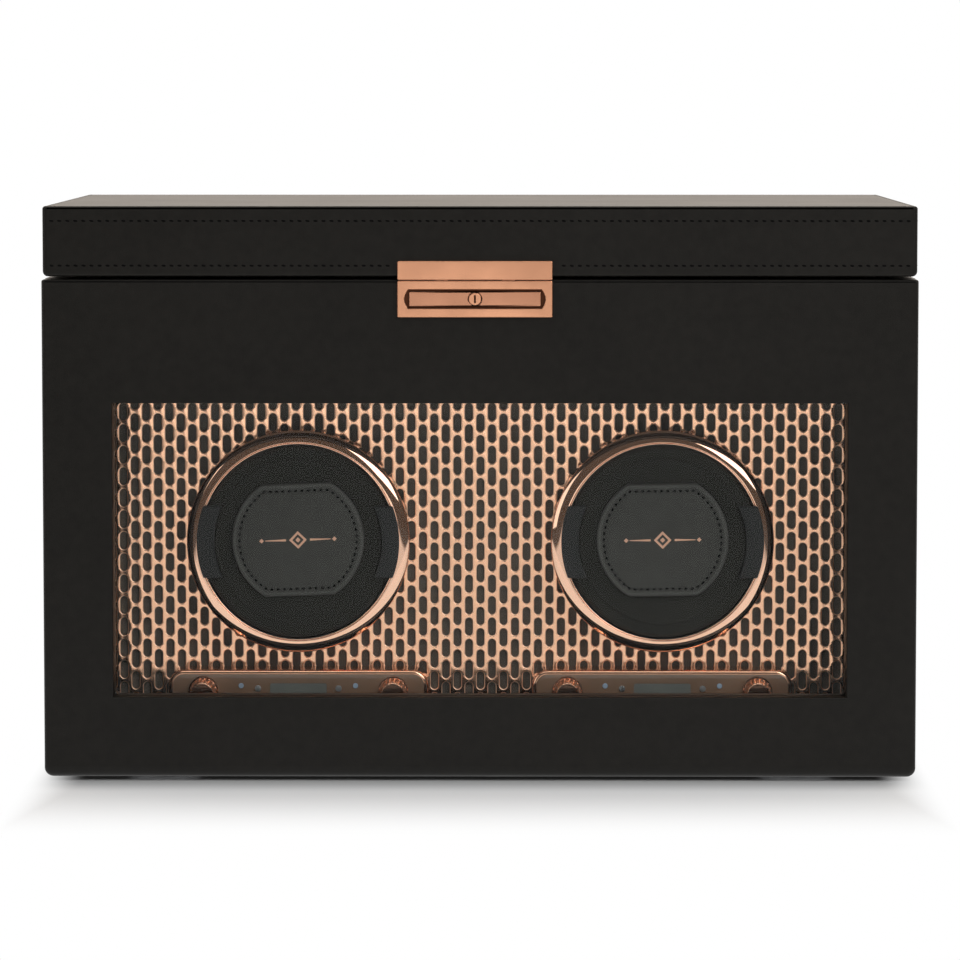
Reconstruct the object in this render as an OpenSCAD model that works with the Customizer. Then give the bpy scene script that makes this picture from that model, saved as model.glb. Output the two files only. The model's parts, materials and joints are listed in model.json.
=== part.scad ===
// Twin watch winder box with a lift-up storage lid and a drop-front glazed door.
// X runs to the right, the front faces -Y, Z is up and the box stands on z = 0.

/* [Box] */
// Width of the box
box_w = 330; // [300:1:380]
// Depth of the box, over door and rear panel
box_d = 190; // [175:1:240]
// Height of the carcass and the door
carcass_h = 188.6; // [184:0.1:220]
// Height of the lid
lid_h = 26.4; // [20:0.1:40]
// Gap between the lid and the carcass
lid_gap = 1.2; // [0.8:0.1:2]
// Thickness of the carcass boards
wall_t = 9; // [7:0.5:12]
// Thickness of the felt pad under the base
pad_t = 1.4; // [1.4:0.1:3]
// How far the felt pad is set in from the edges
pad_inset = 5; // [3:0.5:12]
// Radius of the upright rear corners
corner_r = 2.5; // [1:0.5:4]
// Radius of the bottom side corners
foot_r = 4; // [1:0.5:5]
// Gap between the door and the carcass
seam = 0.3; // [0.3:0.1:0.6]

/* [Lid] */
// Thickness of the top of the lid
lid_top_t = 7; // [5:0.5:10]
// Thickness of the rim of the lid
lid_rim_t = 9; // [7:0.5:12]
// Thickness of the padded lining
lining_t = 4; // [2:0.5:6]
// Radius of the top edges of the lid
lid_edge_r = 2.2; // [1:0.1:4]
// Radius of the bottom edges of the lid
lid_rim_r = 1.4; // [0.5:0.1:2]

/* [Door] */
// Thickness of the door
door_t = 14; // [13:0.5:18]
// Radius of both bottom edges of the door
door_edge_r = 4.5; // [4.5:0.1:5]
// Width of the window
window_w = 277.6; // [240:0.1:280]
// Height of the window
window_h = 112; // [95:0.1:115]
// Height of the window's lower edge over the door's lower edge
window_rise = 30.3; // [29:0.1:40]
// Thickness of the leather-covered frame in front of the glass
face_t = 5.5; // [4:0.1:7]
// How far the glass reaches behind the frame
glass_lap = 5; // [3:0.5:7]
// Thickness of the glass
glass_t = 3; // [2:0.1:4]
// How far the glass retainer shows inside the frame
retainer_show = 0.9; // [0:0.1:3]
// Corner radius of the glass retainer's opening
retainer_r = 3; // [1:0.5:6]

/* [Latch] */
// Sideways place of the latch
latch_x = -1.8; // [-20:0.1:20]
// Width of the latch plates
latch_w = 58.5; // [50:0.5:80]
// Height of the lower latch plate
latch_h = 13.8; // [12:0.1:16]
// Height of the upper latch plate
strike_h = 6.5; // [5:0.1:10]
// How far the latch plates stand proud of the leather
latch_proud = 1.2; // [0.8:0.1:1.3]
// Radius of the latch plates' corners
latch_r = 1; // [0.5:0.1:2]
// Depth of the latch body in the door
latch_body_t = 8; // [7:0.5:9]
// Width of the scooped recess
recess_w = 55; // [52:0.5:60]
// Height of the scooped recess
recess_h = 7.2; // [7:0.1:9]
// Depth of the scooped recess
recess_t = 1.6; // [1:0.1:2]
// Width of the push bar
bar_w = 50; // [40:0.5:50]
// Height of the push bar
bar_h = 5; // [4:0.1:6]
// Depth of the push bar
bar_t = 4; // [3:0.1:4.5]
// How far the push bar stands proud of the recess floor
bar_proud = 0.9; // [0.5:0.1:1.2]
// Diameter of the round boss in the middle of the bar
boss_d = 6.4; // [6:0.1:7]
// Diameter of the lock plug
plug_d = 4.8; // [4:0.1:5]
// Sliding clearance of the bar and the plug
slide_clear = 0.05; // [0.04:0.01:0.1]
// Distance between the two tongues of the strike
tongue_pitch = 25.2; // [20:0.1:36]
// Width of a tongue
tongue_w = 5; // [3:0.1:8]
// Thickness of a tongue
tongue_t = 1.2; // [1:0.1:1.6]
// How far a tongue reaches into the door
tongue_reach = 1.8; // [1.5:0.1:2]

/* [Hinges] */
// Distance of each lid hinge from the middle
lid_hinge_x = 100; // [70:1:125]
// Distance of each door hinge from the middle
door_hinge_x = 120; // [80:1:125]
// Width of a lid hinge
lid_hinge_w = 36; // [24:1:50]
// Width of a door hinge
door_hinge_w = 24; // [18:1:36]
// Radius of the lid hinge knuckles
lid_knuckle_r = 2.6; // [2.2:0.1:3.5]
// Radius of the door hinge knuckles
door_knuckle_r = 2.9; // [2.2:0.1:3]
// Radius of the hinge pins
pin_r = 1.2; // [1:0.1:1.4]
// Running clearance of the hinge pins
pin_clear = 0.05; // [0.02:0.01:0.1]
// Thickness of the lid hinge leaves
leaf_t = 1.4; // [1:0.1:2]
// Height of the lid hinge leaves
leaf_h = 16; // [12:0.5:18]
// Gap between neighbouring knuckles
knuckle_gap = 0.3; // [0.3:0.1:0.6]

/* [Winder chamber] */
// Distance from the door's face to the patterned plate
plate_setback = 43; // [40:1:50]
// Thickness of the patterned plate
plate_t = 1.2; // [0.8:0.1:2]
// Thickness of the board behind the plate
backing_t = 4; // [3:0.5:6]
// Width of a slot
slot_w = 2.9; // [2:0.1:3.4]
// Length of a slot
slot_l = 6.9; // [5:0.1:7.2]
// Sideways spacing of the slots
slot_dx = 4.45; // [4.1:0.05:6]
// Upright spacing of the slots in a column
slot_dz = 8.34; // [8.1:0.02:12]
// Plain margin around the slots
slot_margin = 2.5; // [2:0.5:8]

/* [Drums] */
// Distance of each drum axis from the nearer side wall
drum_inset = 86; // [75:1:100]
// Room between a bezel ring and the chamber's ceiling
bezel_headroom = 16.1; // [12:0.1:20]
// Room between a bezel ring and the control panel below it
bezel_footroom = 6.5; // [5:0.1:9]
// Width of the bezel ring's band, inside to outside
bezel_band = 5.3; // [4.8:0.1:5.8]
// How far the bezel rings stand in front of the plate
bezel_proud = 12; // [10:0.5:14]
// Radius of the bezel's rounded outer edge
bezel_crown = 3.3; // [2.6:0.1:3.6]
// Radius of the bezel's rounded inner edge
bezel_roll = 1.8; // [1:0.1:2]
// How far the drum cups lie inside the bezel rings' outer edge
cup_inset = 1.7; // [1.4:0.1:2]
// Wall thickness of the drum cups
cup_wall = 1.3; // [1:0.1:1.4]
// Inner depth of the drum cups
cup_depth = 60; // [56:1:66]
// Thickness of the drum cup's floor
cup_floor = 3; // [2:0.5:5]
// Radial running gap between drum and housing
drum_gap = 1.4; // [0.8:0.1:2]
// Wall thickness of the drum housings
housing_wall = 2; // [1.5:0.1:3]
// Radius of the drum axles
axle_r = 3; // [2:0.1:4]
// Running clearance of axles and shafts
run_clear = 0.05; // [0.02:0.01:0.1]

/* [Drive] */
// Teeth of the drum gear
drum_teeth = 40; // [40:4:48]
// Teeth of the motor pinion
pinion_teeth = 10; // [10:1:12]
// Room between the pinion's teeth and the housing's wall
pinion_room = 4; // [3:0.1:8]
// Face width of the gears
gear_t = 6; // [4:0.5:8]
// Flank play of the gears, along the pitch circle
gear_play = 0.3; // [0.2:0.05:0.4]
// Radius of the motor shaft
motor_shaft_r = 1.5; // [1:0.1:2]
// Radius of the motor can
motor_r = 12; // [9:0.5:16]
// Length of the motor can
motor_l = 20; // [14:1:30]

/* [Cuffs] */
// Gap between the cuff's round front and the bezel's inner lip
cuff_gap = 0.5; // [0.3:0.1:1.5]
// How far the cuff's front lies behind the bezel's front
cuff_sink = 1.5; // [1.3:0.1:4]
// Thickness of the cuff's round front
cuff_face_t = 10; // [8:0.5:12]
// Radius of the cuff's front edge
cuff_edge_r = 2; // [1:0.1:3]
// Room for a strap above and below the cuff's body
strap_room = 14.9; // [12:0.1:18]
// Room beside the cuff's body
side_room = 22.9; // [20:0.1:26]
// Distance of the thin ridge from the edge of the cuff's front
ridge_inset = 6.1; // [5:0.1:8]
// Height of the thin ridge
ridge_t = 0.5; // [0.3:0.1:1]
// Distance of the patch's sides from the ridge
patch_side_gap = 5.75; // [5:0.05:8]
// Distance of the patch's top and bottom from the ridge
patch_top_gap = 9.5; // [8:0.1:12]
// How far the patch's slanted corners reach in from its sides
patch_slant = 11.5; // [8:0.5:14]
// Thickness of the leather patch
patch_t = 1.8; // [1:0.1:2]
// How far the cuff's ears lap over the bezel's lip
ear_lap = 1.3; // [0.8:0.1:1.6]
// Thickness of an ear where it laps over the bezel
ear_t = 0.9; // [0.6:0.1:1.5]
// Width of an ear, outwards from the cuff's middle
ear_w = 6.6; // [5:0.1:6.6]
// Height of an ear
ear_h = 27.6; // [20:0.1:30]
// Thickness of the clips
clip_t = 1.5; // [1:0.1:1.6]
// Half angle that each clip covers
clip_half = 22; // [15:1:30]
// Length of the clips
clip_l = 26; // [15:1:34]

/* [Controls] */
// Width of a control panel
panel_w = 100; // [90:1:110]
// Height of a control panel over the chamber's floor
panel_rise = 3.6; // [2:0.1:5]
// Height of a control panel
panel_h = 24.6; // [23:0.1:25]
// How far a control panel stands in front of the plate
panel_proud = 13; // [11:0.5:15]
// Wall thickness of a control panel
panel_wall = 2; // [1.5:0.1:3]
// Thickness of the smoked fascia in a control panel's face
fascia_t = 1; // [0.6:0.1:1.2]
// Copper edge left around the fascia
fascia_edge = 1.6; // [1.2:0.1:2]
// Radius of a control panel's upper corners
panel_r = 6; // [3:0.5:8]
// Distance of each knob from the panel's middle
knob_x = 36.5; // [30:0.5:40]
// Height of the knobs over the panel's lower edge
knob_rise = 16.5; // [14:0.5:17]
// Diameter of a knob at its base
knob_base_d = 11.5; // [10:0.1:13]
// Diameter of a knob at its front
knob_front_d = 8.8; // [8:0.1:10]
// Length of a knob
knob_l = 8; // [6:0.5:9]
// Flutes around a knob
knob_flutes = 18; // [12:1:24]
// Radius of a knob's stem
stem_r = 1.5; // [1:0.1:2]
// Width of a display
display_w = 22; // [18:0.5:26]
// Height of a display
display_h = 14; // [10:0.5:16]
// Depth of a display's field in the fascia
display_sink = 0.2; // [0.1:0.05:0.4]
// Radius of a display's corners
display_r = 0.8; // [0.4:0.1:2]
// Height of a display's lower edge over the panel's lower edge
display_rise = 5.5; // [4:0.5:6]
// Distance of each indicator from the panel's middle
lamp_x = 22; // [18:0.5:26]
// Radius of an indicator
lamp_r = 1; // [0.8:0.1:1.5]
// Height of the indicators over the panel's lower edge
lamp_rise = 18.5; // [17:0.5:20]
// Width of a rotary switch behind a knob
switch_w = 11; // [9:0.5:12]
// Depth of a rotary switch behind a knob
switch_depth = 6; // [5:0.5:8]
// Distance of each panel screw from the panel's middle
screw_x = 15.5; // [14.5:0.5:17]
// Radius of a screw head
screw_r = 1.2; // [1:0.1:1.6]

/* [Electronics] */
// Width of the circuit board
board_w = 90; // [70:1:120]
// Depth of the circuit board
board_d = 44; // [36:1:50]
// Thickness of the circuit board
board_t = 1.6; // [1:0.1:2.4]
// Height of the spacers under the circuit board
spacer_h = 6; // [4:0.5:10]
// Distance between the drum housings and the circuit board
board_back = 18; // [10:1:24]

/* [Storage] */
// Inner depth of the storage compartment
storage_h = 38; // [36:0.5:44]
// Thickness of the storage floor
shelf_t = 5; // [4:0.5:6]
// Thickness of the front rail
rail_t = 9; // [7:0.5:12]
// Wall thickness of the tray
tray_wall = 3; // [2:0.5:4]
// Fit of the tray in the compartment
tray_fit = 0.4; // [0.3:0.1:1]
// How far the tray's rim lies under the carcass's top
tray_drop = 2; // [1:0.5:4]
// Thickness of the tray's floor
tray_floor = 2; // [1.5:0.5:3]
// Width of a watch bay
bay_w = 60; // [54:1:64]
// Depth of the front row of bays
bay_d = 92; // [86:1:98]
// Number of watch bays
bays = 3; // [2:1:3]
// Gap around a cushion
cushion_gap = 2; // [1:0.5:4]
// Height of a cushion
cushion_h = 26; // [22:1:29]
// Number of padded rolls in the jewellery bay
rolls = 6; // [4:1:7]
// Height of the padded rolls
roll_h = 20; // [14:1:28]

/* [Rear] */
// Width of the rear cover
cover_w = 150; // [120:1:180]
// Height of the rear cover
cover_h = 90; // [70:1:100]
// Height of the rear cover's lower edge over the table
cover_z = 32; // [24:1:36]
// Thickness of the rear cover
cover_t = 2.5; // [2:0.5:3]
// How far the rear cover laps over its opening
cover_lap = 8; // [6:0.5:12]
// Number of vent slots
vents = 9; // [5:1:12]
// Diameter of the power socket's opening
inlet_d = 6.4; // [5:0.1:8]
// Diameter of the power socket's flange
inlet_flange_d = 12; // [10:0.5:14]

/* [Hidden] */
$fn = 64;
left = -1;
right = 1;
far = 2 * box_w;
leather = "#232220";
copper = "#d39675";
plastic = "#2a2a2a";
suede = "#6f6a62";
steel = "#b8b8b8";

// planes of the box
front_y = -box_d / 2;
rear_y = box_d / 2;
door_back_y = front_y + door_t;
carcass_y = door_back_y + seam;
top_z = pad_t + carcass_h;
lid_z = top_z + lid_gap;
inner_w = box_w - 2 * wall_t;
floor_z = pad_t + wall_t;
shelf_top_z = top_z - storage_h;
shelf_z = shelf_top_z - shelf_t;
rear_in_y = rear_y - wall_t;
rail_back_y = carcass_y + rail_t;
panel_z = floor_z + panel_rise;

// winder module
plate_y = front_y + plate_setback;
backing_y = plate_y + plate_t;
module_y = backing_y + backing_t;
drum_front_y = plate_y - bezel_proud;
bezel_r = (shelf_z - bezel_headroom - panel_z - panel_h - bezel_footroom) / 2;
bezel_lip_r = bezel_r - bezel_band;
drum_z = panel_z + panel_h + bezel_footroom + bezel_r;
cup_r = bezel_r - cup_inset;
cup_floor_y = drum_front_y + cup_depth;
gear_y = cup_floor_y + cup_floor;
gear_back_y = gear_y + gear_t;
housing_r = cup_r + drum_gap;
tip_share = 0.85;
gear_module = (housing_r - pinion_room) / (drum_teeth / 2 + pinion_teeth + tip_share);
housing_back_y = gear_back_y + 2;
housing_out_y = housing_back_y + 3;
drum_pitch_r = gear_module * drum_teeth / 2;
pinion_pitch_r = gear_module * pinion_teeth / 2;
pinion_z = drum_z - drum_pitch_r - pinion_pitch_r;
motor_y = housing_out_y;
hub_r = axle_r + 4;

// cuffs
cuff_y = drum_front_y + cuff_sink;
cuff_r = bezel_lip_r - cuff_gap;
cuff_body_w = 2 * (cup_r - cup_wall - side_room);
cuff_body_h = 2 * (cup_r - cup_wall - strap_room);
ridge_r = cuff_r - ridge_inset;
patch_w = 2 * (ridge_r - patch_side_gap);
patch_h = 2 * (ridge_r - patch_top_gap);
patch_flat = patch_w - 2 * patch_slant;
head_y = cup_floor_y - seam - 2;
cuff_back_y = head_y - 0.3;
clip_r = cup_r - cup_wall - 0.3;
patch_y = cuff_y - patch_t;
web_y = cuff_y + cuff_face_t;
web_t = 2;
clip_y = drum_front_y + bezel_crown + 0.4;
ear_y = drum_front_y - 0.3 - ear_t;
ear_in_r = bezel_lip_r + ear_lap - ear_w;

// controls
panel_y = plate_y - panel_proud;
knob_z = panel_z + knob_rise;

// door and latch
door_axis_y = front_y + door_edge_r;
door_axis_z = pad_t + door_edge_r;
window_z = pad_t + window_rise;
glass_y = front_y + face_t;
glass_w = window_w + 2 * glass_lap;
glass_h = window_h + 2 * glass_lap;
latch_z = top_z - 0.3 - latch_h / 2;
plate_face_y = front_y - latch_proud;
recess_y = plate_face_y + recess_t;
bar_y = recess_y - bar_proud;
body_w = bar_w + 6;
body_h = boss_d + 3;

// lid hinge
lid_axis_y = rear_y + lid_knuckle_r;
lid_axis_z = top_z + lid_gap / 2;

// storage
tray_w = inner_w - 2 * tray_fit;
tray_y = rail_back_y + tray_fit;
tray_back_y = rear_in_y - tray_fit;
tray_top_z = top_z - tray_drop;
bay_z = shelf_top_z + tray_floor;
bay_y = tray_y + tray_wall;
bay_x = -tray_w / 2 + tray_wall;
jewel_x = bay_x + bays * (bay_w + tray_wall);
jewel_w = tray_w / 2 - tray_wall - jewel_x;
strip_y = bay_y + bay_d + tray_wall;
strip_d = tray_back_y - tray_wall - strip_y;
strip_w = (tray_w - 3 * tray_wall) / 2;

function drum_x(side) = side * (inner_w / 2 - drum_inset);
function polar(r, a) = [r * cos(a), r * sin(a)];

// a flat outline, x and z, drawn from y0 back to y1
module slab(y0, y1) {
    translate([0, y1, 0]) rotate([90, 0, 0]) linear_extrude(height = y1 - y0) children();
}

// an outline of y and z, drawn over a width along x
module bar_along_x(x0, x1) {
    translate([x0, 0, 0]) rotate([90, 0, 90]) linear_extrude(height = x1 - x0) children();
}

// a profile of radius and forward distance, turned about a drum's or knob's axis
module turned(x, y, z) {
    translate([x, y, z]) rotate([90, 0, 0]) rotate_extrude() children();
}

// a round rod from y0 back to y1
module rod(x, z, r, y0, y1) {
    translate([x, y1, z]) rotate([90, 0, 0]) cylinder(r = r, h = y1 - y0);
}

module box_at(x0, x1, y0, y1, z0, z1) {
    translate([x0, y0, z0]) cube([x1 - x0, y1 - y0, z1 - z0]);
}

// a rectangle with its own radius at the lower and at the upper corners
module rounded(x0, x1, z0, z1, low_r, high_r) {
    union() {
        translate([x0, z0 + low_r]) square([x1 - x0, z1 - z0 - low_r - high_r]);
        translate([x0 + low_r, z0]) square([x1 - x0 - 2 * low_r, z1 - z0 - high_r]);
        translate([x0 + high_r, z0 + low_r]) square([x1 - x0 - 2 * high_r, z1 - z0 - low_r]);
        for (x = [x0 + low_r, x1 - low_r]) translate([x, z0 + low_r]) circle(r = low_r);
        for (x = [x0 + high_r, x1 - high_r]) translate([x, z1 - high_r]) circle(r = high_r);
    }
}

module plain_rect(x0, x1, z0, z1) {
    translate([x0, z0]) square([x1 - x0, z1 - z0]);
}

// outer form of the carcass: rounded at the bottom sides and the upright rear corners
module carcass_form() {
    intersection() {
        slab(carcass_y, rear_y) rounded(-box_w / 2, box_w / 2, pad_t, top_z, foot_r, 0.5);
        translate([0, 0, pad_t]) linear_extrude(height = carcass_h)
            rounded(-box_w / 2, box_w / 2, carcass_y, rear_y, 0.5, corner_r);
    }
}

module base_pad() {
    color("#15151a") linear_extrude(height = pad_t)
        rounded(-box_w / 2 + pad_inset, box_w / 2 - pad_inset,
            carcass_y + pad_inset, rear_y - pad_inset, 3, 3);
}

module base_panel() {
    color(leather) difference() {
        box_at(-inner_w / 2, inner_w / 2, carcass_y, rear_y, pad_t, floor_z);
        for (side = [left, right]) door_leaf(side);
    }
}

module side_panel(side) {
    x0 = side * (box_w - wall_t) / 2 - wall_t / 2;
    color(leather) intersection() {
        carcass_form();
        box_at(x0, x0 + wall_t, carcass_y, rear_y, pad_t, top_z);
    }
}

module rear_panel() {
    hole_w = cover_w - 2 * cover_lap;
    color(leather) difference() {
        box_at(-inner_w / 2, inner_w / 2, rear_in_y, rear_y, floor_z, top_z);
        box_at(-hole_w / 2, hole_w / 2, rear_in_y - 1, rear_y + 1,
            cover_z + cover_lap, cover_z + cover_h - cover_lap);
        translate([0, rear_y - cover_t, 0]) slab(0, cover_t + 1)
            rounded(-cover_w / 2, cover_w / 2, cover_z, cover_z + cover_h, 3, 3);
        for (at = cover_screw_places()) rod(at[0], at[1], 1.5, rear_in_y + 1, rear_y);
    }
}

module front_rail() {
    color(leather) difference() {
        box_at(-inner_w / 2, inner_w / 2, carcass_y, rail_back_y, shelf_z, top_z);
        box_at(latch_x - tongue_pitch, latch_x + tongue_pitch, carcass_y - 1,
            carcass_y + 1, top_z - 12, top_z + 1);
    }
}

module storage_floor() {
    color(suede) box_at(-inner_w / 2, inner_w / 2, rail_back_y, rear_in_y, shelf_z, shelf_top_z);
}

// one upright slot with round ends, in the plane of the plate
module slot(x, z) {
    reach = (slot_l - slot_w) / 2;
    translate([x, z]) union() {
        square([slot_w, 2 * reach], center = true);
        for (end = [-reach, reach]) translate([0, end]) circle(d = slot_w);
    }
}

// is a slot worth cutting: not wholly in a drum's hole or behind a control panel?
function slot_free(x, z) =
    let (side = x < 0 ? left : right, gone_r = housing_r - slot_l / 2 - slot_w / 2)
    norm([x - drum_x(side), z - drum_z]) > gone_r
    && (abs(x - drum_x(side)) > panel_w / 2 - slot_w || z > panel_z + panel_h - slot_l / 2);

module pattern_plate() {
    columns = floor((inner_w / 2 - slot_margin - slot_w / 2) / slot_dx);
    low = floor_z + slot_margin + slot_l / 2;
    high = shelf_z - slot_margin - slot_l / 2;
    color(copper) slab(plate_y, backing_y) difference() {
        plain_rect(-inner_w / 2, inner_w / 2, floor_z, shelf_z);
        for (side = [left, right]) translate([drum_x(side), drum_z]) circle(r = housing_r);
        for (c = [-columns : columns])
            for (z = [low + (abs(c) % 2) * slot_dz / 2 : slot_dz : high])
                if (slot_free(c * slot_dx, z)) slot(c * slot_dx, z);
        for (side = [left, right]) panel_holes(side);
    }
}

// the two fixing holes behind a control panel
module panel_holes(side) {
    for (x = panel_fix_places(side)) translate([x, panel_z + panel_h / 2]) circle(r = 1.6);
}

function panel_fix_places(side) =
    [for (s = [left, right]) drum_x(side) + s * (panel_w / 2 - 9)];

module plate_backing() {
    color("#1a1a1c") slab(backing_y, module_y) difference() {
        plain_rect(-inner_w / 2, inner_w / 2, floor_z, shelf_z);
        for (side = [left, right]) translate([drum_x(side), drum_z]) circle(r = housing_r);
        for (side = [left, right]) panel_holes(side);
    }
}

// the fixed cup that a drum turns in, its flange against the backing board
module drum_housing(side) {
    x = drum_x(side);
    color(plastic) difference() {
        union() {
            turned(x, housing_out_y, drum_z) union() {
                square([housing_r + housing_wall, housing_out_y - module_y]);
                translate([0, housing_out_y - module_y - 3]) square([housing_r + 7, 3]);
            }
            rod(x, drum_z, hub_r, housing_out_y, housing_out_y + 5);
        }
        rod(x, drum_z, housing_r, module_y - 1, housing_back_y);
        rod(x, drum_z, axle_r, housing_back_y - 1, housing_out_y + 6);
        rod(x, pinion_z, motor_shaft_r + 0.8, housing_back_y - 1, housing_out_y + 1);
    }
}

// steel pin: a head in front of the cup's floor, a shoulder and a washer behind the housing
module drum_axle(side) {
    x = drum_x(side);
    color(steel) union() {
        rod(x, drum_z, axle_r, head_y, housing_out_y + 6);
        rod(x, drum_z, axle_r + 2.5, head_y, head_y + 2);
        rod(x, drum_z, axle_r + 2.5, housing_out_y + 5, housing_out_y + 6.5);
    }
}

// gear outline: straight-sided teeth with a mid point on the pitch circle
function gear_points(teeth, play) =
    let (pitch_r = gear_module * teeth / 2,
        tip_r = pitch_r + tip_share * gear_module,
        root_r = pitch_r - 1.15 * gear_module,
        step = 360 / teeth,
        mid = step / 4 - play / pitch_r * 90 / PI,
        tip = mid * 0.52,
        root = mid * 1.38)
    [for (i = [0 : teeth - 1]) for (p = [[root_r, -root], [pitch_r, -mid], [tip_r, -tip],
        [tip_r, tip], [pitch_r, mid], [root_r, root]]) polar(p[0], i * step + p[1])];

// open cup with its hub and the moulded gear behind its floor
module drum_cup(side) {
    x = drum_x(side);
    color(plastic) difference() {
        union() {
            rod(x, drum_z, cup_r, drum_front_y + bezel_crown, gear_y);
            slab(gear_y - 0.1, gear_back_y) translate([x, drum_z]) rotate(90 + 180 / drum_teeth)
                polygon(gear_points(drum_teeth, gear_play));
        }
        rod(x, drum_z, cup_r - cup_wall, drum_front_y - 1, cup_floor_y);
        rod(x, drum_z, axle_r + run_clear, cup_floor_y - 1, gear_back_y + 1);
    }
}

// section of a band from r0 to r1 whose front has an inner and an outer rounded edge
module rounded_band(r0, r1, depth, inner_r, outer_r) {
    union() {
        translate([r0, 0]) square([r1 - r0, depth - outer_r]);
        translate([r0, 0]) square([r1 - r0 - outer_r, depth - inner_r]);
        translate([r0 + inner_r, 0]) square([r1 - r0 - inner_r - outer_r, depth]);
        translate([r0 + inner_r, depth - inner_r]) circle(r = inner_r);
        intersection() {
            translate([r1 - outer_r, depth - outer_r]) circle(r = outer_r);
            translate([r1 - outer_r, 0]) square([outer_r, depth]);
        }
    }
}

// polished ring with a rounded front that laps over the cup's rim
module bezel_ring(side) {
    depth = bezel_proud - seam;
    color(copper) turned(drum_x(side), plate_y - seam, drum_z) difference() {
        rounded_band(bezel_lip_r, bezel_r, depth, bezel_roll, bezel_crown);
        translate([0, -1]) square([cup_r, depth - bezel_crown + 1]);
    }
}

// padded watch holder: a round front with a thin ridge, and the body that a strap closes round
module cuff_pad(side) {
    x = drum_x(side);
    color("#2c2b29") union() {
        turned(x, cuff_y + cuff_face_t, drum_z) union() {
            square([cuff_r, cuff_face_t - cuff_edge_r]);
            square([cuff_r - cuff_edge_r, cuff_face_t]);
            translate([cuff_r - cuff_edge_r, cuff_face_t - cuff_edge_r]) circle(r = cuff_edge_r);
        }
        slab(cuff_y + cuff_face_t - 1, cuff_back_y)
            rounded(x - cuff_body_w / 2, x + cuff_body_w / 2,
                drum_z - cuff_body_h / 2, drum_z + cuff_body_h / 2, 9, 9);
    }
}

function patch_side(s) =
    let (w = patch_w / 2, h = patch_h / 2, f = patch_flat / 2, waist = h * 0.4)
    [[s * f, -s * h], [s * (w - 2), -s * (waist + 3)], [s * w, -s * waist],
        [s * w, s * waist], [s * (w - 2), s * (waist + 3)], [s * f, s * h]];

// eight-sided leather patch, with the cuff's thin ridge around it as a ring of its own
module cuff_patch(side) {
    x = drum_x(side);
    color("#3b3936") union() {
        slab(patch_y, cuff_y) translate([x, drum_z])
            polygon(concat(patch_side(1), patch_side(-1)));
        turned(x, cuff_y, drum_z) translate([ridge_r, 0]) square([1.2, ridge_t]);
    }
}

// a pair of curved spring plates between the cuff and the drum's wall, and a pair of ears on its front
module cuff_clips(side) {
    x = drum_x(side);
    wedge = far * tan(clip_half);
    color(plastic) for (s = [left, right]) {
        intersection() {
            translate([x, 0, drum_z]) slab(clip_y, web_y + clip_l)
                polygon([[0, 0], [s * far, -wedge], [s * far, wedge]]);
            union() {
                turned(x, web_y + clip_l, drum_z) translate([clip_r - clip_t, 0])
                    square([clip_t, web_y + clip_l - clip_y]);
                difference() {
                    rod(x, drum_z, clip_r - clip_t + 0.2, web_y, web_y + web_t);
                    box_at(x - cuff_body_w / 2, x + cuff_body_w / 2, web_y - 1, web_y + web_t + 1,
                        0, far);
                }
            }
        }
        intersection() {
            box_at(x + min(0, s * far), x + max(0, s * far), ear_y, cuff_y,
                drum_z - ear_h / 2, drum_z + ear_h / 2);
            turned(x, cuff_y, drum_z) union() {
                translate([ear_in_r, 0]) square([cuff_r - ear_in_r, cuff_y - ear_y]);
                translate([ear_in_r, cuff_y - ear_y - ear_t])
                    square([bezel_lip_r + ear_lap - ear_in_r, ear_t]);
            }
        }
    }
}

// gear motor: can, gearbox plate with ears, and the bore of its shaft
module motor(side) {
    x = drum_x(side);
    color("#8c8f93") difference() {
        union() {
            slab(motor_y, motor_y + 6)
                rounded(x - motor_r - 5, x + motor_r + 5, pinion_z - motor_r + 1,
                    pinion_z + motor_r - 1, 3, 3);
            rod(x, pinion_z, motor_r, motor_y + 5, motor_y + 6 + motor_l);
            rod(x, pinion_z, motor_r / 3, motor_y + 5, motor_y + 8 + motor_l);
            for (s = [left, right]) box_at(x + s * motor_r / 2 - 1.5, x + s * motor_r / 2 + 1.5,
                motor_y + 5 + motor_l, motor_y + 10 + motor_l, pinion_z - 0.4, pinion_z + 0.4);
        }
        rod(x, pinion_z, motor_shaft_r + run_clear, motor_y - 1, motor_y + 5);
        rod(x, drum_z, hub_r + 0.3, motor_y - 1, motor_y + 7);
    }
}

// pinion with its shaft, in mesh with the drum's gear
module motor_pinion(side) {
    x = drum_x(side);
    turn = pinion_teeth % 2 == 0 ? 90 : 90 + 180 / pinion_teeth;
    color("#d8cfae") union() {
        slab(gear_y + 0.4, gear_back_y) translate([x, pinion_z]) rotate(turn)
            polygon(gear_points(pinion_teeth, gear_play));
        rod(x, pinion_z, motor_shaft_r, gear_y + 1, motor_y + 4.7);
    }
}

// hollow block with a round copper top edge; the knobs, lamps and display sit in its face
module control_panel(side) {
    x = drum_x(side);
    z1 = panel_z + panel_h;
    w = panel_w / 2;
    color(copper) difference() {
        intersection() {
            slab(panel_y, plate_y) rounded(x - w, x + w, panel_z, z1, 1, panel_r);
            bar_along_x(x - w, x + w) rounded(panel_y, plate_y, panel_z, z1, 0.8, 1.6);
        }
        slab(panel_y + panel_wall, plate_y + 1)
            rounded(x - w + panel_wall, x + w - panel_wall, panel_z + panel_wall,
                z1 - panel_wall, 1, panel_r - panel_wall);
        slab(panel_y - 1, panel_y + fascia_t) fascia_outline(x);
        panel_bores(side);
    }
}

module fascia_outline(x) {
    rounded(x - panel_w / 2 + fascia_edge, x + panel_w / 2 - fascia_edge, panel_z + fascia_edge,
        panel_z + panel_h - fascia_edge, 1, panel_r - fascia_edge);
}

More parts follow.
